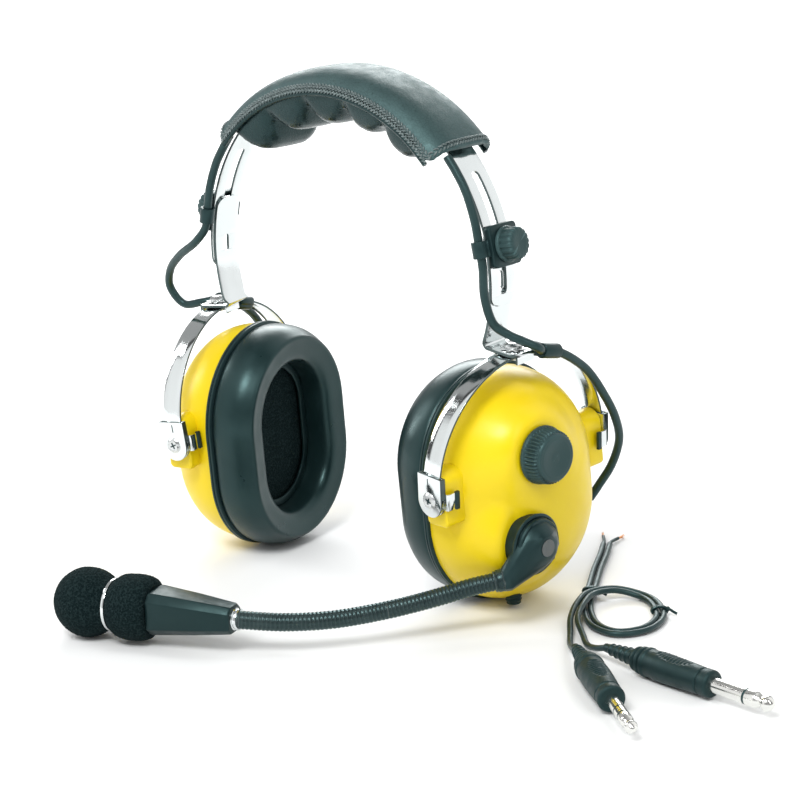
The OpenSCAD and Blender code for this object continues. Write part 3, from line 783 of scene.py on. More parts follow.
def along_x(normal):
    return abs(normal.x) > 0.55


def along_y(normal):
    return abs(normal.y) > 0.55


def off_y(normal):
    return abs(normal.y) < 0.5


def on(piece, body, slot, *nodes):
    """The piece rides on a body and stands for CAD nodes, which it hides; slot is not used."""
    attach(piece, body)
    if nodes:
        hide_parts(*nodes)
    return piece


def across_joint(piece, body_a, body_b, start, end, slot, *nodes):
    """Bakes the piece's place into its points and hides the CAD nodes it stands for; body_a, body_b, start
    and end (points in millimetres) are not used.
    """
    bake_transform(piece)
    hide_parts(*nodes)


def puff(piece, voxel, pressure, most, frames=20):
    """Swells a closed skin as stuffed cloth does, no point moving further than most."""
    even_mesh = piece.modifiers.new("even", "REMESH")
    even_mesh.mode = "VOXEL"
    even_mesh.voxel_size = voxel * MM
    even_mesh.use_smooth_shade = True
    apply_modifiers(piece)
    count = len(piece.data.vertices)
    before = np.zeros(count * 3)
    piece.data.vertices.foreach_get("co", before)
    cloth = piece.modifiers.new("cloth", "CLOTH")
    cloth.settings.quality = 5
    cloth.settings.mass = 0.1
    cloth.settings.use_pressure = True
    cloth.settings.uniform_pressure_force = pressure
    cloth.settings.effector_weights.gravity = 0
    cloth.point_cache.frame_start = 1
    cloth.point_cache.frame_end = frames
    scene = bpy.context.scene
    for step in range(1, frames + 1):
        scene.frame_set(step)
    apply_modifiers(piece)
    scene.frame_set(1)
    after = np.zeros(count * 3)
    piece.data.vertices.foreach_get("co", after)
    move = (after - before).reshape(-1, 3)
    far = np.linalg.norm(move, axis=1)
    cap = most * MM
    move *= (cap * np.tanh(far / cap) / np.maximum(far, 1e-9))[:, None]
    piece.data.vertices.foreach_set("co", (before.reshape(-1, 3) + move).ravel())
    smoother = piece.modifiers.new("smooth", "SUBSURF")
    smoother.levels = smoother.render_levels = 1
    apply_modifiers(piece)
    piece.data.shade_smooth()


# ---- twin-plug lead -----------------------------------------------------------------------------


def make_cord(name, route, ties, node):
    """One cord of the lead, from its plug back to its bare end."""
    points = smooth(route, 6)[::-1] * MM
    points[:, 2] += LEAD_Z * MM
    curve = bpy.data.curves.new(name, "CURVE")
    curve.dimensions = "3D"
    curve.bevel_depth = LEAD_D / 2 * MM
    curve.bevel_resolution = 5
    curve.use_fill_caps = True
    spline = curve.splines.new("POLY")
    spline.points.add(len(points) - 1)
    for point, place in zip(spline.points, points):
        point.co = (*place, 1)
    spline.use_smooth = True
    curve.materials.append(CABLE)
    cord = put(name, curve)
    on(cord, "lead", "cable_jacket", node)


def make_ties():
    """Each tie is two turns of thin cord round the pair, with its knot's tail."""
    loops = []
    for index, (x, y, yaw) in enumerate(LEAD_TIES):
        turns = np.linspace(0, 4 * math.pi, 64)
        wrap = np.array([(0.75 * (t / math.pi - 2) * 0.5, 3.3 * math.cos(t), 1.75 * math.sin(t))
                         for t in turns])
        tail = np.array([wrap[-1], (1.6, 4.2, 0.9), (2.6, 5.6, 0.2), (3.2, 7.2, -0.6)])
        line = even(np.concatenate([wrap, smooth(tail, 6)[1:]]), 0.45)
        knot = moved(lathe([(-1.1, 0), (-0.9, 0.7), (0, 1.1), (0.9, 0.7), (1.1, 0)], 12),
                     shift(0.6, 3.5, 0.9))
        shape = moved(joined(tube(line, 0.6, 8), knot), shift(x, y, LEAD_Z + 0.35) @ turn("Z", yaw))
        loops.append(shape)
    return on(build("lead_tie_wraps", joined(*loops), BLACK), "lead", "cable_jacket", "lead_ties")


def make_bare_ends(side, ahead):
    """The stripped cores at a cord's cut end: a thin sleeve and the copper strands."""
    start = beside(LEAD, side)[0] + np.array([0, 0, LEAD_Z])
    back = unit(beside(LEAD, side)[0] - beside(LEAD, side)[1])
    sweep = np.array([ahead, 0.6 * abs(ahead), 0])
    route = smooth([start - back, start + 3 * back, start + 7 * back + 0.6 * sweep,
                    start + 11 * back + 1.6 * sweep], 6)
    route[:, 2] -= np.linspace(0, 0.7, len(route))
    sleeve = build(f"core_sleeve_{'ab'[side > 0]}", tube(route, 0.75, 12), RUBBER)
    on(sleeve, "lead", "cable_jacket")
    tip = unit(route[-1] - route[-2])
    strands = []
    for k in range(5):
        angle = 2 * math.pi * k / 5
        off = 0.32 * np.array([0, math.cos(angle), math.sin(angle)])
        strand = [route[-1] - tip + off, route[-1] + 2.5 * tip + 1.3 * off,
                  route[-1] + 5 * tip + (2.0 + 0.3 * k) * off]
        strands.append(tube(smooth(strand, 3), 0.2, 6))
    wires = build(f"core_strands_{'ab'[side > 0]}", joined(*strands), COPPER)
    on(wires, "lead", "nickel")
    return [sleeve, wires]


def make_plug(name, place, pin_r, grooves):
    """Ribbed relief, collar rings, oval grip and a jack pin with its insulator rings."""
    relief = []
    for k in range(69):
        x = HANDLE_X * k / 68
        rib = 0.45 * max(0.0, math.sin(2 * math.pi * x / 3.1)) if 1.5 < x < 16 else 0
        relief.append((x, 1.75 + 1.7 * x / HANDLE_X + rib))
    body = [(17.2, 4.6), (17.9, 5.1), (18.7, 5.1), (19.2, 4.5), (19.9, 4.5), (20.4, 5.7), (21.5, 5.7),
            (22, 5.0), (22.7, 5.0), (23.2, 6.1), (24.4, 6.15), (25, 5.7), (27, 5.75), (30, 6.0),
            (34, 6.1), (38, 6.05), (42, 5.9), (46, 5.75), (50, 5.6), (52.2, 5.5), (52.5, 5.1),
            (53.1, 5.1), (53.4, 5.55), (56.8, 5.6), (57.6, 5.3), (58, 4.6), (58, 0)]
    body = [tuple(p) for p in even(body, 0.4)]

    def grip(x, angle):
        """A sunk oval on top, with fine ribs across it."""
        side = (angle - math.pi / 2 + math.pi) % (2 * math.pi) - math.pi
        oval = (side / 0.62) ** 2 + ((x - 38) / 9.5) ** 2
        if oval >= 1:
            return 0
        return -0.45 * min(1, 4 * (1 - oval)) + 0.16 * math.sin(2 * math.pi * x / 1.6)

    handle = build(f"{name}_handle_moulding", lathe([(0, 0)] + relief + body, 64, grip), RUBBER,
                   in_plug(*place))
    on(handle, "lead", "plug_rubber", f"{name}_handle")
    tip = [(PIN_TIP, pin_r), (22.3, pin_r - 0.15), (24.2, pin_r - 1.05), (24.8, pin_r - 1.1),
           (25.6, pin_r - 0.75), (26.4, pin_r - 0.1), (27.4, pin_r), (28.4, pin_r - 0.5),
           (29.4, pin_r - 1.4), (29.9, pin_r - 2.1), (30, 0)]
    shaft = [(-0.5, 0), (-0.5, pin_r), (0.6, pin_r)]
    for k in range(grooves, 0, -1):
        x = PIN_TIP - RING_PITCH * k
        shaft += [(x - 0.05, pin_r), (x, pin_r - 0.25), (x + 1, pin_r - 0.25), (x + 1.05, pin_r)]
    pin = build(f"{name}_pin_turning", lathe(shaft + tip, 48), NICKEL,
                in_plug(*place) @ shift(PIN_X, 0, 0))
    on(pin, "lead", "nickel", f"{name}_pin")
    rings = [moved(lathe([(0, pin_r - 0.4), (0, pin_r - 0.02), (1, pin_r - 0.02), (1, pin_r - 0.4)], 40),
                   shift(PIN_TIP - RING_PITCH * k, 0, 0)) for k in range(1, grooves + 1)]
    insulators = build(f"{name}_insulators", joined(*rings), BLACK, in_plug(*place) @ shift(PIN_X, 0, 0))
    on(insulators, "lead", "black_plastic")


ties = make_ties()
mic_route = np.concatenate([beside(LEAD, -LEAD_PITCH), MIC_LEAD_END])
phone_route = np.concatenate([beside(LEAD, LEAD_PITCH), PHONE_LEAD_END])
make_cord("mic_cord", mic_route, [ties, *make_bare_ends(-LEAD_PITCH, -1.5)],
          "mic_lead")
make_cord("phone_cord", phone_route, make_bare_ends(LEAD_PITCH, 1.5),
          "phone_lead")
make_plug("mic_plug", MIC_PLUG, 2.6, 2)
make_plug("phone_plug", PHONE_PLUG, 3.175, 1)

# ---- headband -----------------------------------------------------------------------------------


def on_arc(radius, start_angle):
    """Places (distance along the arc, y) on the band's arc, upwards from an angle."""
    def place(s, y):
        return arc_point(radius, math.radians(start_angle) + s / radius, y)
    return place


def round_ends(length, half, radius):
    """Half width of a strip whose ends are rounded."""
    def width(s):
        into = max(0.0, radius - min(s, length - s))
        return half - radius + math.sqrt(max(radius ** 2 - into ** 2, 0.05))
    return width


def make_spring():
    """Slotted spring strip over the head, one slot towards each end."""
    length = math.radians(180 - 2 * BAND_TIP) * BAND_R
    low, high = ((math.radians(a - BAND_TIP) * BAND_R) for a in SLOT_ANGLES)
    slots = [(low, high, SLOT_W / 2), (length - high, length - low, SLOT_W / 2)]
    shape = slotted_strip(on_arc(BAND_R, BAND_TIP), length, round_ends(length, BAND_W / 2, 5), slots)
    on(build("headband_strip", shape, CHROME, thick=BAND_T, bevel=0.22, painted_dark_faces=along_y), "headband",
       "chrome", "headband_spring")


def cover_section(across, thick):
    """Radius of the cover's outside at y, draping over the front and rear edges."""
    reach = abs(across) / (CUSHION_W / 2)
    return CROWN_R - DRAPE * reach ** DRAPE_POWER - thick


def make_cover():
    """Crowned leather top, wrapped down over the pad's front and rear edges."""
    half = CUSHION_W / 2
    rings = []
    for angle in np.linspace(CUSHION_END, 180 - CUSHION_END, 70):
        end = min(angle - CUSHION_END, 180 - CUSHION_END - angle)
        lift = 0.5 * math.sin(math.radians(angle) * 9) * min(1, end / 10)
        flare = 0.7 * math.exp(-end / 3.0)
        outer = [half * math.sin(t) for t in np.linspace(-math.pi / 2, math.pi / 2, 34)]
        ring = []
        for y in outer:
            ring.append((y, cover_section(y, 0) + flare + 0.35 * lift * (1 - (y / half) ** 2)))
        for y in reversed(outer):
            inner = y * (half - 1.5) / half
            ring.append((inner, cover_section(inner, 2.7) + 0.5 * flare))
        rings.append([arc_point(r, math.radians(angle), y) for y, r in ring])
    cover = build("cushion_top", loft(rings), LEATHER, sharp=75)
    puff(cover, 1.6, 1.2, 0.6, 12)
    on(cover, "headband", "leather", "cushion_cover")


def roll_bottom(angle, y):
    """Radius of the pad's underside: a row of stuffed rolls, each pinched from the next."""
    depths = np.interp(angle, [45, 90, 135], [13.6, 16.2, 18.0])
    pitch = ROLL_ANGLES[1] - ROLL_ANGLES[0]
    nearest = min(ROLL_ANGLES, key=lambda a: abs(a - angle))
    u = min(1.0, abs(angle - nearest) / (pitch / 2))
    swell = (1 - u ** 2.6) ** 0.62
    side = max(0.0, 1 - (abs(y) / PAD_HALF) ** 5.0) ** 0.42
    return 78.4 - 1.6 * side - (depths - 2.2) * swell * side


def make_rolls():
    """The pad under the band, closed towards its two ends."""
    rings = []
    for angle in np.linspace(PAD_END, 180 - PAD_END, 230):
        end = min(angle - PAD_END, 180 - PAD_END - angle) / 3.0
        close = min(1.0, end + 0.15)
        ring = []
        for t in np.linspace(-math.pi / 2, math.pi / 2, 34):
            y = PAD_HALF * math.sin(t)
            r = 78.8 - (78.8 - roll_bottom(angle, y)) * close
            ring.append((r, y))
        ring += [(79.3, PAD_HALF * math.sin(t)) for t in np.linspace(math.pi / 2, -math.pi / 2, 34)]
        rings.append([arc_point(r, math.radians(angle), y) for r, y in ring])
    rolls = build("cushion_pad", loft(rings), PAD_LEATHER, sharp=75)
    puff(rolls, 1.7, 3.0, 1.6)
    on(rolls, "headband", "vinyl", "cushion_rolls")


def stitch(place, along_line, up, lean):
    """One thread stitch, lying on the leather and sunk at both ends."""
    aim = unit(along_line * math.cos(lean) + np.cross(up, along_line) * math.sin(lean))
    bow = [(-0.5, -0.28), (-0.25, 0.12), (0, 0.22), (0.25, 0.12), (0.5, -0.28)]
    points = [place + aim * STITCH_LENGTH * s + up * lift for s, lift in bow]
    return tube(points, [STITCH_R * 0.55, STITCH_R, STITCH_R, STITCH_R, STITCH_R * 0.55], 6)


def seam_row(line, ups, lean, start):
    """A stitch at every second point of a line on the cover, counted from start."""
    ahead = tangents(line)
    return [stitch(line[i], ahead[i], ups[i], lean) for i in range(start, len(line), 2)]


def make_seams():
    """Overlock seams along the cover's long edges and across its two ends."""
    shapes = []
    half = CUSHION_W / 2
    for sign in (-1, 1):
        angles = np.radians(np.linspace(CUSHION_END + 1.2, 178.8 - CUSHION_END, 148))
        for drop, lean, start in ((20.95, 0.6, 0), (20.7, -0.6, 1), (20.1, 0.55, 0), (19.4, -0.55, 1)):
            y = sign * drop
            slope = DRAPE * DRAPE_POWER * (drop / half) ** (DRAPE_POWER - 1) / half
            line = np.array([arc_point(cover_section(y, 0) + 0.15, a, y) for a in angles])
            ups = np.array([unit((math.cos(a), sign * slope, math.sin(a))) for a in angles])
            shapes += seam_row(line, ups, lean, start)
    for angle, sign in ((CUSHION_END, 1), (180 - CUSHION_END, -1)):
        for inset, lean, start in ((1.2, 0.6, 0), (2.1, -0.6, 1)):
            a = math.radians(angle + sign * inset)
            ys = np.linspace(-19.5, 19.5, 46)
            line = np.array([arc_point(cover_section(y, 0) + 0.55, a, y) for y in ys])
            ups = np.array([unit((math.cos(a), 0, math.sin(a)))] * len(ys))
            shapes += seam_row(line, ups, lean, start)
    on(build("cushion_stitching", joined(*shapes), THREAD), "headband", "leather")


def make_edge_piping():
    """Dark folded edge under the stitching."""
    angles = np.radians(np.linspace(CUSHION_END + 0.4, 179.6 - CUSHION_END, 90))
    shapes = []
    for sign in (-1, 1):
        r = cover_section(CUSHION_W / 2, 0) - 0.9
        shapes.append(tube([arc_point(r, a, sign * 20.2) for a in angles], 1.15, 10))
    on(build("cushion_piping", joined(*shapes), PAD_LEATHER), "headband", "leather")


make_spring()
make_rolls()
make_cover()
make_edge_piping()
make_seams()

# ---- sliding arms, knobs and cable clips --------------------------------------------------------


def arm_place():
    """Line and cross direction of the pressed arm, from its top down to the lip of its foot."""
    arc = [arc_point(ARM_R, math.radians(a)) for a in np.linspace(17.0, -17.0, 50)]
    foot = [tuple(STIRRUP @ Vector(p)) for p in ((-11.0, 0, 2.2), (-9.6, 0, 1.05), (-8, 0, 0.85),
                                                (5.6, 0, 0.85), (6.6, 0, 0.6), (6.9, 0, -0.4),
                                                (6.9, 0, -3.0))]
    line = even(smooth(np.array(arc[::7] + foot), 10), 0.25)
    gone = run_of(line)
    foot_y = np.array(STIRRUP.to_3x3() @ Vector((0, 1, 0)))
    fold = gone[-1] - 22.0

    def place(s, y):
        p = np.array([np.interp(s, gone, line[:, k]) for k in range(3)])
        turned = min(1.0, max(0.0, (s - fold + 6) / 8))
        return p + y * unit((1 - turned) * np.array([0, 1, 0]) + turned * foot_y)

    def width(s):
        into = max(0.0, 5.5 - s)
        top_end = ARM_W / 2 - 5.5 + math.sqrt(max(5.5 ** 2 - into ** 2, 0.05))
        left = gone[-1] - s
        return min(top_end, 5.0 + 2.0 * min(1, max(0, (left - 4.0) / 1.5)))

    return place, gone[-1], width


def make_arm(name, side):
    """Sliding arm with its hook hole, and the lip at the end of its foot."""
    place, length, width = arm_place()
    shape = slotted_strip(place, length, width, [(19.5, 24.5, 1.3)], 1.0)
    lip = block((-7.5, -5, -3.2), (-6.4, 5, 0.2), 0.3)
    strip = build(f"arm_{name}_pressing", shape, CHROME, side=side, thick=BAND_T, bevel=0.22,
                  painted_dark_faces=along_y)
    on(strip, f"arm_{name}", "chrome", f"arm_{name}")
    on(build(f"arm_{name}_lip", lip, CHROME, STIRRUP, side, bevel=0.25), f"arm_{name}", "chrome")


def make_adjuster(name, side):
    """Fluted clamp knob on its pressure block, and the clip that leads the cable past them."""
    spot = at_band(ADJUSTER_ANGLE)

    def flutes(x, angle):
        return 0.5 * min(0, math.cos(16 * angle)) if 1.9 < x < 7.6 else 0

    knob = [(0, 0), (0, 6.9), (0.3, 7.5), (1.4, 7.7), (1.9, 7.4), (2.1, 7.0), (3, 7.0), (4.5, 6.95),
            (6, 6.9), (7.0, 6.7), (7.5, 6.2), (7.8, 5.2), (7.7, 3.5), (7.5, 1.5), (7.4, 0)]
    piece = build(f"adjuster_{name}_grip", lathe(knob, 128, flutes), KNOB, spot @ shift(85, 0, 0), side,
                  sharp=50)
    on(piece, f"knob_{name}", "knob_plastic", f"adjuster_knob_{name}")
    plate = moved(prism(rounded_outline(18, 18, 2.2), 0, 3.2), shift(81.7, 0, 0) @ turn("Y", 90))
    collar = moved(lathe([(0, 8.0), (0.0, 8.4), (3.1, 8.4), (3.25, 8.0), (3.25, 0)], 48), shift(81.7, 0, 0))
    side_walls = [block((80.0, y - 0.5, -3.4), (82.2, y + 0.5, 3.4), 0.4) for y in (-8.5, 8.5)]
    body = build(f"clamp_{name}_block", joined(plate, collar, *side_walls), BLACK, spot, side, bevel=0.45)
    on(body, f"arm_{name}", "black_plastic", f"clamp_block_{name}")
    cx, cy = CABLE_CLIP
    loop = [(83.2, -8.4), (83.2, -9.6)]
    loop += [(cx + 2.75 * math.cos(a), cy + 2.75 * math.sin(a))
             for a in np.radians(np.linspace(40, -250, 26))]
    loop += [(79.6, -9.0), (80.8, -8.3)]
    rows = [[(x, y, -3.5), (x, y, 3.5)] for x, y in loop]
    clip = build(f"cable_clip_{name}_band", ribbon(rows), BLACK, spot, side, thick=1.1, bevel=0.25)
    on(clip, f"arm_{name}", "black_plastic", f"cable_clip_{name}")


def make_rivet(name, side):
    """Domed rivet on its toothed washer."""
    def teeth(x, angle):
        return 0.7 * math.cos(9 * angle)

    washer = [(1.7, 3.0), (1.75, 5.0), (1.95, 5.2), (2.3, 5.1), (2.5, 3.4), (2.45, 3.0)]
    head = [(2.3, 0), (2.3, 3.9), (2.7, 4.1), (3.4, 3.9), (4.0, 3.0), (4.2, 2.4), (3.9, 2.0), (3.8, 0)]
    under = [(-2.6, 0), (-2.6, 3.6), (-2.3, 4.1), (-1.7, 4.2), (-1.6, 2.5), (2.0, 2.5), (2.0, 0)]
    shape = joined(lathe(washer, 72, teeth), lathe(head, 48), lathe(under, 48))
    on(build(f"rivet_{name}_and_washer", shape, STEEL, STIRRUP @ UPRIGHT, side), f"arm_{name}", "steel",
       f"stirrup_rivet_{name}")


for name, side in SIDES.items():
    make_arm(name, side)
    make_adjuster(name, side)
    make_rivet(name, side)

# ---- stirrups -----------------------------------------------------------------------------------


def make_stirrup(name, side):
    """Sprung strap over the cup, with its two legs and stamped ends."""
    middle = STIRRUP_R - 0.5
    leg = 2.5
    length = math.pi * middle + 2 * leg

    def place(s, x):
        if s < leg:
            return (x, -middle, -STIRRUP_R - leg + s)
        if s > length - leg:
            return (x, middle, -STIRRUP_R - (s - (length - leg)))
        a = (s - leg) / middle
        return (x, -middle * math.cos(a), -STIRRUP_R + middle * math.sin(a))

    centre = length / 2
    shape = slotted_strip(place, length, round_ends(length, STRAP_W / 2, 2.0),
                          [(centre - 0.01, centre + 0.01, 2.6)], 1.3)
    on(build(f"stirrup_{name}_strap", shape, CHROME, STIRRUP, side, thick=1.0, bevel=0.2,
             painted_dark_faces=along_x), f"stirrup_{name}", "chrome", f"stirrup_{name}")


def clip_outline(grow=0.0):
    """Plate with a square top and a round lower end, in x and z."""
    half = CLIP_W / 2 + grow
    outline = [(half, 11 + grow), (-half, 11 + grow)]
    outline += [(half * math.cos(a), -0.6 + half * math.sin(a))
                for a in np.linspace(math.pi, 2 * math.pi, 25)]
    return outline


def stand_up(shape, y):
    """Turns a flat plate so that its thickness runs out along y."""
    points, faces = shape
    return [(p[0], y + p[2], p[1]) for p in points], faces


def make_end_clips(name, side):
    """Folded sleeves on the strap's ends: two leaves, a stop tab with a dark tip, and a screw; the leaf's
    slit and the screw's cross recess are painted shade in black.
    """
    steel, tabs, screws, tips_and_painted_recesses = [], [], [], []
    for end in (1, -1):
        flip = Matrix.Diagonal((1, end, 1, 1))
        outer = stand_up(prism(clip_outline(), 0, 0.9), PLATE_OUT)
        inner = stand_up(prism(clip_outline(-0.2), 0, 1.0), PLATE_IN)
        walls = [block((x - 0.45, 47.6, 1.5), (x + 0.45, 50.3, 10.9), 0.2)
                 for x in (-CLIP_W / 2 + 0.45, CLIP_W / 2 - 0.45)]
        reach = [(6.4, 47.8), (8.0, 47.6), (8.3, 46.8), (8.3, 43.4)]
        tab = ribbon([[(side * x, y, -3.2), (side * x, y, 4.2)] for x, y in reach])
        steel += [moved(s, flip) for s in (outer, inner, *walls)]
        tabs.append(moved(tab, flip))
        tip_x = sorted((side * 7.7, side * 9.3))
        tip = block((tip_x[0], 41.6, -3.4), (tip_x[1], 43.8, 4.4), 0.4)
        tips_and_painted_recesses.append(moved(tip, flip))
        # painted shade: a thin black sheet on the outer leaf stands in for the shadow in its slit
        slit_shadow = stand_up(prism(rounded_outline(0.55, 3.6, 0.2), 0, 0.06), 50.48)
        tips_and_painted_recesses.append(moved(moved(slit_shadow, shift(-0.8, 0, 8.0)), flip))
        head = [(50.3, 0), (50.3, 3.5), (50.6, 3.6), (51.2, 3.1), (51.5, 2.4), (51.3, 1.9), (51.2, 0)]
        screw = moved(lathe(head, 40), turn("Z", 90))
        screws.append(moved(screw, flip))
        # painted shade: black bars on the screw head stand in for the shadow in its cross recess
        cross = [moved(block((-0.28, 0, -1.5), (0.28, 0.3, 1.5), 0.1), shift(0, 51.15, 0) @ turn("Y", a))
                 for a in (20, 110)]
        tips_and_painted_recesses += [moved(c, flip) for c in cross]
    body = f"stirrup_{name}"
    on(build(f"end_clips_{name}_leaves", joined(*steel), CHROME, PIVOT, side, bevel=0.2, painted_dark_faces=off_y),
       body, "chrome", f"end_clips_{name}")
    on(build(f"end_clips_{name}_tabs", joined(*tabs), CHROME, PIVOT, side, thick=0.9, bevel=0.18), body,
       "chrome")
    # the tab tips are black plastic; the slit and the screw cross in this piece are painted shade
    on(build(f"end_clips_{name}_marks", joined(*tips_and_painted_recesses), BLACK, PIVOT, side, bevel=0.05), body,
       "black_plastic")
    on(build(f"pivot_{name}_screw_heads", joined(*screws), STEEL, PIVOT, side), body, "steel")


def make_strap_clip(name, side):
    """Moulded double sleeve: one bore for the cable, one that grips the strap."""
    drop = STIRRUP_R - math.sqrt(STIRRUP_R ** 2 - STRAP_CLIP_Y ** 2)
    lean = math.degrees(math.asin(STRAP_CLIP_Y / STIRRUP_R))
    spot = STIRRUP @ shift(0, STRAP_CLIP_Y, -drop) @ turn("X", -lean)
    hollow = [(-5.2, 2.1), (-5.2, 3.0), (-4.9, 3.3), (4.9, 3.3), (5.2, 3.0), (5.2, 2.1)]
    sleeve = moved(lathe(hollow, 40), shift(STRAP_CLIP_X, 0, 0.2) @ turn("Z", 90))
    grip = moved(prism(rounded_outline(STRAP_W + 3.4, 4.4, 2.1, 8), -4.6, 4.6),
                 shift(0.1, 0, -0.6) @ turn("X", 90))
    web = block((4.6, -4.2, -1.7), (7.3, 4.2, 0.6), 0.4)
    bumper = moved(lathe([(-6.5, 0), (-6.2, 1.0), (-5.2, 1.7), (-4, 2.0), (4, 2.0), (5.2, 1.7), (6.2, 1.0),
                          (6.5, 0)], 24), shift(-3.4, 0.0, -2.6) @ turn("Z", 90))
    on(build(f"strap_clip_{name}_moulding", joined(sleeve, grip, web, bumper), BLACK, spot, side,
             bevel=0.2), f"stirrup_{name}", "black_plastic", f"strap_clip_{name}")


for name, side in SIDES.items():
    make_stirrup(name, side)
    make_end_clips(name, side)
    make_strap_clip(name, side)

# ---- ear cups -----------------------------------------------------------------------------------


def dome_profile(count):
    """(share of the rim's reach, height) pairs of the dome's crown, evenly spaced."""
    power = 2.35
    t = np.linspace(0, math.pi / 2, 400)
    share, height = np.cos(t) ** (2 / power), np.sin(t) ** (2 / power)
    line = np.stack([share * SEAL_R, height * (CUP_DEPTH - DOME_BASE)], axis=1)
    line = even(line, run_of(line)[-1] / count)
    return [(p[0] / SEAL_R, p[1]) for p in line]


def seat(y, z, depth, at, radius, top, spread):
    """Swells the dome up to a round seat for a control."""
    away = math.hypot(y - at[0], z - at[1])
    share = min(1.0, max(0.0, (radius + spread - away) / spread))
    share = share * share * (3 - 2 * share)
    return depth + (max(top, depth) - depth) * share


def make_dome(name, side):
    """Yellow shell, swollen round the left cup's controls, and the bosses that it tilts on."""
    around = stadium_ring(300)
    outer, inner = [], []
    for share, height in dome_profile(64):
        ring = []
        for cz, dy, dz in around:
            y, z = share * SEAL_R * dy, share * (cz + SEAL_R * dz)
            depth = DOME_BASE + height
            if side > 0:
                depth = seat(y, z, depth, VOLUME_AT, 13.0, CUP_DEPTH - 0.15, 15)
                depth = seat(y, z, depth, BOOM_AT, 13.4, CUP_DEPTH - 3.5, 12)
            ring.append((depth, y, z))
        outer.append(ring)
        inner.append([(DOME_BASE + height * 0.93, share * SEAL_R * dy * 0.94,
                       share * (cz + SEAL_R * dz) * 0.94) for cz, dy, dz in around])
    lip = [[(DOME_BASE, y * 0.997, z * 0.997) for _, y, z in outer[0]]]
    shape = loft(inner[::-1] + lip + outer)
    on(build(f"dome_{name}_shell", shape, YELLOW, CUP, side, sharp=60), f"cup_{name}", "yellow_shell",
       f"dome_{name}")
    bosses = []
    outline = [(BOSS_HALF * math.cos(a), BOSS_UP - BOSS_HALF + BOSS_HALF * math.sin(a))
               for a in np.linspace(0, math.pi, 17)]
    outline += [(-BOSS_HALF, -11.0), (-5.0, -BOSS_UP), (5.0, -BOSS_UP), (BOSS_HALF, -11.0)]
    for end in (1, -1):
        boss = stand_up(prism(outline, 0, 13.2), 34.0)
        bosses.append(moved(boss, shift(PIVOT_DEPTH, 0, PIVOT_Z) @ Matrix.Diagonal((1, end, 1, 1))))
    on(build(f"dome_{name}_bosses", joined(*bosses), YELLOW, CUP, side, bevel=0.9, steps=4),
       f"cup_{name}", "yellow_shell")


def make_seal(name, side):
    """Vinyl cushion with a sloping outer shoulder, a ridge round its face and a deep opening."""
    profile = [(25.2, 19.9), (33, 19.9), (40.3, 19.9), (41.2, 19.3), (41.7, 17.2), (41.8, 13.5),
               (41.5, 10.0), (40.9, 7.4), (40.0, 5.2), (38.8, 3.2), (37.9, 1.7), (37.4, 0.9), (36.8, 0.35),
               (36.0, 0.2), (35.0, 0.45), (32.5, 0.95), (29.6, 1.35), (27.6, 1.8), (26.1, 2.7), (25.2, 4.3),
               (24.8, 7.0), (24.7, 12), (24.8, 17)]
    seal = build(f"ear_seal_{name}_cushion", round_the_cup(profile, 160), VINYL, CUP, side, subdivide=1,
                 sharp=80)
    on(seal, f"cup_{name}", "vinyl", f"ear_seal_{name}")


def make_back_plate(name, side):
    """Rim between the seal and the dome, with a groove round its edge."""
    profile = [(20, 20.05), (41.9, 20.05), (42.4, 20.4), (42.45, 21.1), (42.0, 21.45), (42.45, 21.8),
               (42.4, 22.6), (41.9, 22.95), (20, 22.95)]
    on(build(f"back_plate_{name}_rim", round_the_cup(profile, 160), BLACK, CUP, side), f"cup_{name}",
       "black_plastic", f"back_plate_{name}")


def make_ear_foam(name, side):
    """Soft foam sheet over the speaker, held by a thin ring."""
    around = stadium_ring(120)
    rings = []
    for share in np.linspace(0.04, 1, 16):
        sag = 1.6 * (1 - share ** 2)
        depth = 16.4 + 1.2 * share ** 6 - sag * 0.4
        rings.append([(depth, share * FOAM_R * dy, share * (cz + FOAM_R * dz)) for cz, dy, dz in around])
    rings.append([(19.6, FOAM_R * dy, cz + FOAM_R * dz) for cz, dy, dz in around])
    pad = build(f"ear_foam_{name}_sheet", loft(rings), FOAM, CUP, side, sharp=75)
    on(pad, f"cup_{name}", "foam", f"ear_foam_{name}")
    ring = round_the_cup([(21.3, 14.6), (24.4, 14.2), (24.5, 15.0), (21.3, 15.6)], 120)
    on(build(f"ear_foam_{name}_ring", ring, BLACK, CUP, side, bevel=0.2), f"cup_{name}", "black_plastic")


def make_grommet(name, side):
    """Ribbed boot where the cable goes into the cup."""
    seat_place = PIVOT @ shift(0, 0, STIRRUP_DROP) @ shift(0, 37.6, -80.4) @ turn("X", -15)
    profile = [(-3, 0), (-3, 3.0), (1.4, 3.0), (1.6, 4.3), (2.4, 4.4), (2.9, 3.9), (3.3, 3.2), (3.8, 3.5),
               (4.4, 3.1), (4.9, 3.3), (5.5, 2.8), (6.0, 2.9), (6.5, 2.3), (6.5, 0)]
    shape = moved(lathe(profile, 36), turn("Z", 90))
    on(build(f"cable_grommet_{name}_boot", shape, RUBBER, seat_place, side), f"cup_{name}",
       "black_plastic", f"cable_grommet_{name}")


for name, side in SIDES.items():
    make_dome(name, side)
    make_seal(name, side)
    make_back_plate(name, side)
    make_ear_foam(name, side)
    make_grommet(name, side)

# ---- crossover cable ----------------------------------------------------------------------------


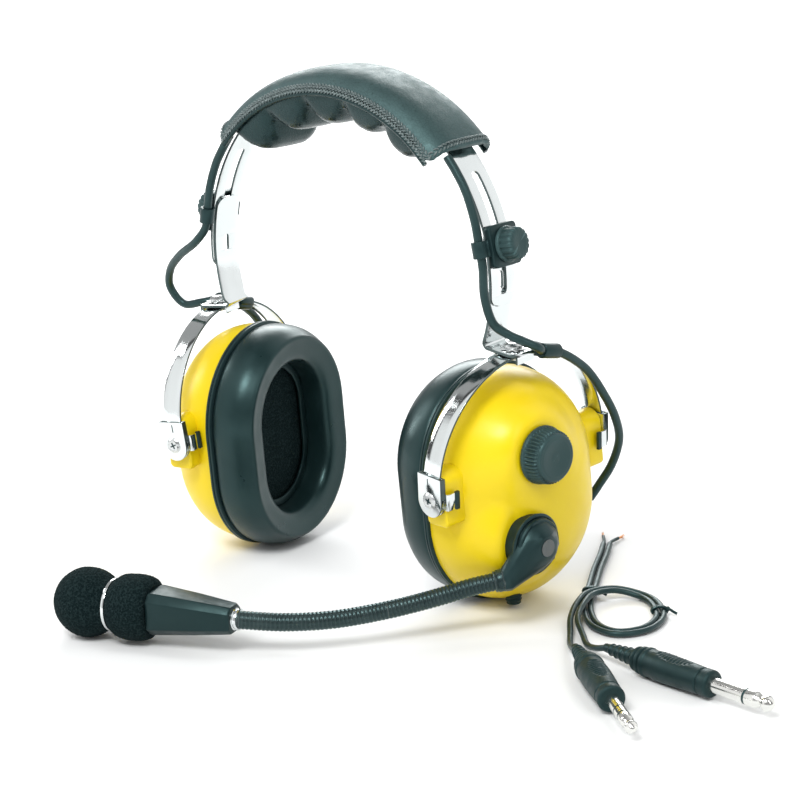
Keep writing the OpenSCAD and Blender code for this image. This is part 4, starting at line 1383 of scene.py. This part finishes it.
def make_crossover(name, side):
    """The cable down one side: out of the cushion, round to the strap clip and down to the cup."""
    tail = [tuple(STIRRUP @ Vector(p)) for p in TAIL]
    runs = (("drop", DROP, "headband", f"arm_{name}"),
            ("loop", LOOP[name], f"arm_{name}", f"stirrup_{name}"),
            ("tail", tail, f"stirrup_{name}", f"cup_{name}"))
    for run, route, above, below in runs:
        piece = build(f"crossover_{run}_{name}", tube(smooth(route, 10), CABLE_D / 2, 20), CABLE, side=side)
        start, end = ((side * x, y, z) for x, y, z in (route[0], route[-1]))
        across_joint(piece, above, below, start, end, "cable_jacket", f"cable_{run}_{name}")


for name, side in SIDES.items():
    make_crossover(name, side)

# ---- volume control and cord gland --------------------------------------------------------------


def make_volume_knob():
    def flutes(x, angle):
        return 0.38 * math.cos(44 * angle) if 2.2 < x < 7.8 else 0

    profile = [(0, 0), (0, 12.2), (0.4, 12.5), (1.6, 12.5), (2.1, 12.0), (2.4, 11.7), (4, 11.5), (6, 11.2),
               (7.6, 10.9), (8.0, 10.4), (8.6, 10.3), (9.1, 9.8), (9.3, 9.1), (9.2, 8.8), (9.35, 8.3),
               (9.3, 7.6), (9.0, 5.4), (8.7, 3.2), (8.6, 2.0), (8.7, 1.2), (8.6, 0)]
    on(build("volume_knob_moulding", lathe(profile, 264, flutes), KNOB,
             CUP @ shift(CUP_DEPTH + 0.4, *VOLUME_AT), sharp=45), "volume", "knob_plastic", "volume_knob")


def make_gland():
    """Ribbed boot for the main cord, open right through."""
    profile = [(-3, 5.3), (-2.6, 5.5), (-0.8, 5.5), (-0.5, 4.0)]
    profile += [(x, 3.95 - 0.12 * x + 0.25 * math.cos(2 * math.pi * x / 1.7))
                for x in np.linspace(-0.3, 6.4, 34)]
    profile += [(6.8, 3.1), (6.8, 2.62), (-3, 2.62), (-3, 5.3)]
    spot = CUP @ shift(DOME_BASE + 14, -10, -SPINE / 2 - SEAL_R + 8) @ turn("Y", 90)
    on(build("cord_gland_boot", lathe(profile, 40), RUBBER, spot), "cup_left", "black_plastic",
       "cord_gland")


make_volume_knob()
make_gland()

# ---- boom ---------------------------------------------------------------------------------------

boom_spot = CUP @ shift(BOOM_FACE, *BOOM_AT)
neck_start = along(NECK[0], Vector(NECK[1]) - Vector(NECK[0]))


def hull(points):
    """Smallest convex skin round the points."""
    bm = bmesh.new()
    for p in points:
        bm.verts.new(p)
    result = bmesh.ops.convex_hull(bm, input=bm.verts)
    unused = {v for v in result["geom_interior"] + result["geom_unused"]
              if isinstance(v, bmesh.types.BMVert)}
    bmesh.ops.delete(bm, geom=list(unused), context="VERTS")
    bmesh.ops.dissolve_limit(bm, angle_limit=math.radians(1), verts=bm.verts, edges=bm.edges)
    bm.verts.index_update()
    shape = [tuple(v.co) for v in bm.verts], [tuple(v.index for v in f.verts) for f in bm.faces]
    bm.free()
    return shape


def ring_points(place, x, radius, count, start=0.0):
    return [place @ Vector((x, radius * math.cos(start + 2 * math.pi * k / count),
                            radius * math.sin(start + 2 * math.pi * k / count))) for k in range(count)]


def make_boom():
    """Turning disc, and the moulded housing that narrows towards the gooseneck."""
    disc = [(0, 0), (0, 12.5), (10.3, 12.5), (10.7, 13.1), (11.5, 13.3), (11.9, 12.9), (12, 12.2),
            (11.6, 11.9), (11.6, 11.3), (12, 11.0), (12, 0)]
    on(build("boom_disc_turning", lathe(disc, 96), BLACK, boom_spot @ shift(-12, 0, 0)), "cup_left",
       "black_plastic", "boom_disc")
    skin = hull(ring_points(boom_spot, 0.06, 10.6, 28) + ring_points(boom_spot, 3.4, 9.9, 9, 0.5)
                + ring_points(boom_spot, 6.5, 5.6, 7, 0.2)
                + ring_points(neck_start, -2.6, 5.6, 6, 0.52) + ring_points(neck_start, 0.0, 5.3, 6, 0.52))
    foot = [(0.06, 0), (0.06, 11.4), (0.5, 11.6), (1.5, 11.5), (2.0, 11.0), (2.0, 0)]
    on(build("boom_housing_moulding", skin, BLACK, bevel=0.7, steps=3), "boom", "black_plastic",
       "boom_housing")
    on(build("boom_housing_base", lathe(foot, 72), BLACK, boom_spot), "boom", "black_plastic")


def make_neck():
    """Ribbed flexible arm, in two lengths that meet between its two bends."""
    line = even(smooth(NECK, 24), 0.28)
    gone = run_of(line)
    radii = NECK_R + 0.3 * np.abs(np.cos(math.pi * gone / NECK_PITCH))
    _, first, second, third, fourth, fifth, _ = np.array(NECK)
    middle = int(np.argmin(np.linalg.norm(line - third, axis=1)))
    rear = build("gooseneck_rear_length", tube(line[:middle + 1], radii[:middle + 1], 26), GOOSENECK,
                 sharp=180)
    across_joint(rear, "boom", "gooseneck", 0.3 * second + 0.7 * first, 0.4 * second + 0.6 * third,
                 "gooseneck_coat", "gooseneck_rear")
    front = build("gooseneck_front_length", tube(line[middle:], radii[middle:], 26), GOOSENECK, sharp=180)
    across_joint(front, "gooseneck", "microphone", 0.3 * third + 0.7 * fourth,
                 0.3 * fourth + 0.7 * fifth, "gooseneck_coat", "gooseneck_middle", "gooseneck_front")


def make_collars():
    """Bright nuts that hold the flexible arm at both ends."""
    def knurl(x, angle):
        return 0.18 * math.cos(18 * angle) if 0.6 < x < 2.6 else 0

    nut = [(-0.6, 0), (-0.6, 4.5), (0.3, 4.9), (0.6, 4.7), (2.6, 4.7), (2.9, 4.3), (3.2, 4.4), (3.7, 4.4),
           (4.0, 4.1), (4.0, 0)]
    on(build("gooseneck_collar_rear", lathe(nut, 108, knurl), GOOSENECK, neck_start), "boom",
       "gooseneck_coat")
    ring = [(-1.0, 0), (-1.0, 4.4), (-0.4, 4.7), (0.6, 4.7), (0.9, 4.2), (1.5, 4.2), (1.8, 4.6), (2.4, 4.5),
            (2.6, 4.0), (2.6, 0)]
    on(build("gooseneck_collar_front", lathe(ring, 64), CHROME, MIC @ shift(69, 0, 0)), "microphone",
       "chrome")


def make_mic_housing():
    """Tapered housing, square with cut corners."""
    rings = []
    for x, half, cut in ((31.8, 9.0, 3.2), (33.5, 9.2, 3.3), (52, 7.6, 2.9), (68.2, 5.9, 2.5),
                         (69, 5.6, 2.5)):
        ring = [(half - cut, half), (-half + cut, half), (-half, half - cut), (-half, -half + cut),
                (-half + cut, -half), (half - cut, -half), (half, -half + cut), (half, half - cut)]
        rings.append([(x, y, z) for y, z in ring])
    on(build("mic_housing_moulding", loft(rings), BLACK, MIC, bevel=0.35, steps=3), "microphone",
       "black_plastic", "mic_housing")


def make_windscreen():
    """Foam ball and its cuff, with cut cells over the whole skin."""
    profile = [(-15.0, 0)]
    profile += [(-15.0 * math.cos(a), 15.0 * math.sin(a)) for a in np.radians(np.linspace(3, 128, 64))]
    profile += [(10.4, 11.5), (11.4, 10.9), (12.2, 10.8), (13.0, 10.9), (13.8, 11.4), (14.6, 12.2),
                (15.4, 12.9), (16.8, 13.6), (19, 14.0), (22, 14.15), (25, 14.1), (28, 13.7),
                (29.8, 12.9), (31.0, 11.6), (31.5, 10.0), (31.4, 8.0), (31.0, 0)]
    points = [profile[0]] + [tuple(p) for p in even(profile[1:-1], 0.42)] + [profile[-1]]
    shape = lathe(points, 230)
    roughened = []
    for p in shape[0]:
        v = Vector(p)
        cell = noise.noise(v * 1.15) + 0.6 * noise.noise(v * 2.3)
        lump = noise.noise(v * 0.12)
        out = Vector((v.x * 0.35 if v.x < 10 else 0, v.y, v.z))
        out = out.normalized() if out.length > 1e-6 else Vector((-1, 0, 0))
        roughened.append(tuple(v + out * (0.13 * cell + 0.25 * lump - 0.12)))
    screen = build("windscreen_foam", (roughened, shape[1]), FOAM, MIC, sharp=180)
    on(screen, "microphone", "foam", "windscreen")
    band = [(11.9, 10.2), (11.9, 11.3), (12.5, 11.45), (13.1, 11.3), (13.1, 10.2)]
    on(build("windscreen_band", lathe(band, 96), CHROME, MIC), "microphone", "chrome")


make_boom()
make_neck()
make_collars()
make_mic_housing()
make_windscreen()

# ---- the CAD nodes that stay --------------------------------------------------------------------

slot_of = {part["node"]: part["material_slot"] for part in frame["record"]["subparts"]}
for name, node in frame["nodes"].items():
    if node.hide_render:
        continue
    for slot in node.material_slots:
        slot.link = "OBJECT"
        slot.material = SLOT_LOOKS[slot_of[name]]
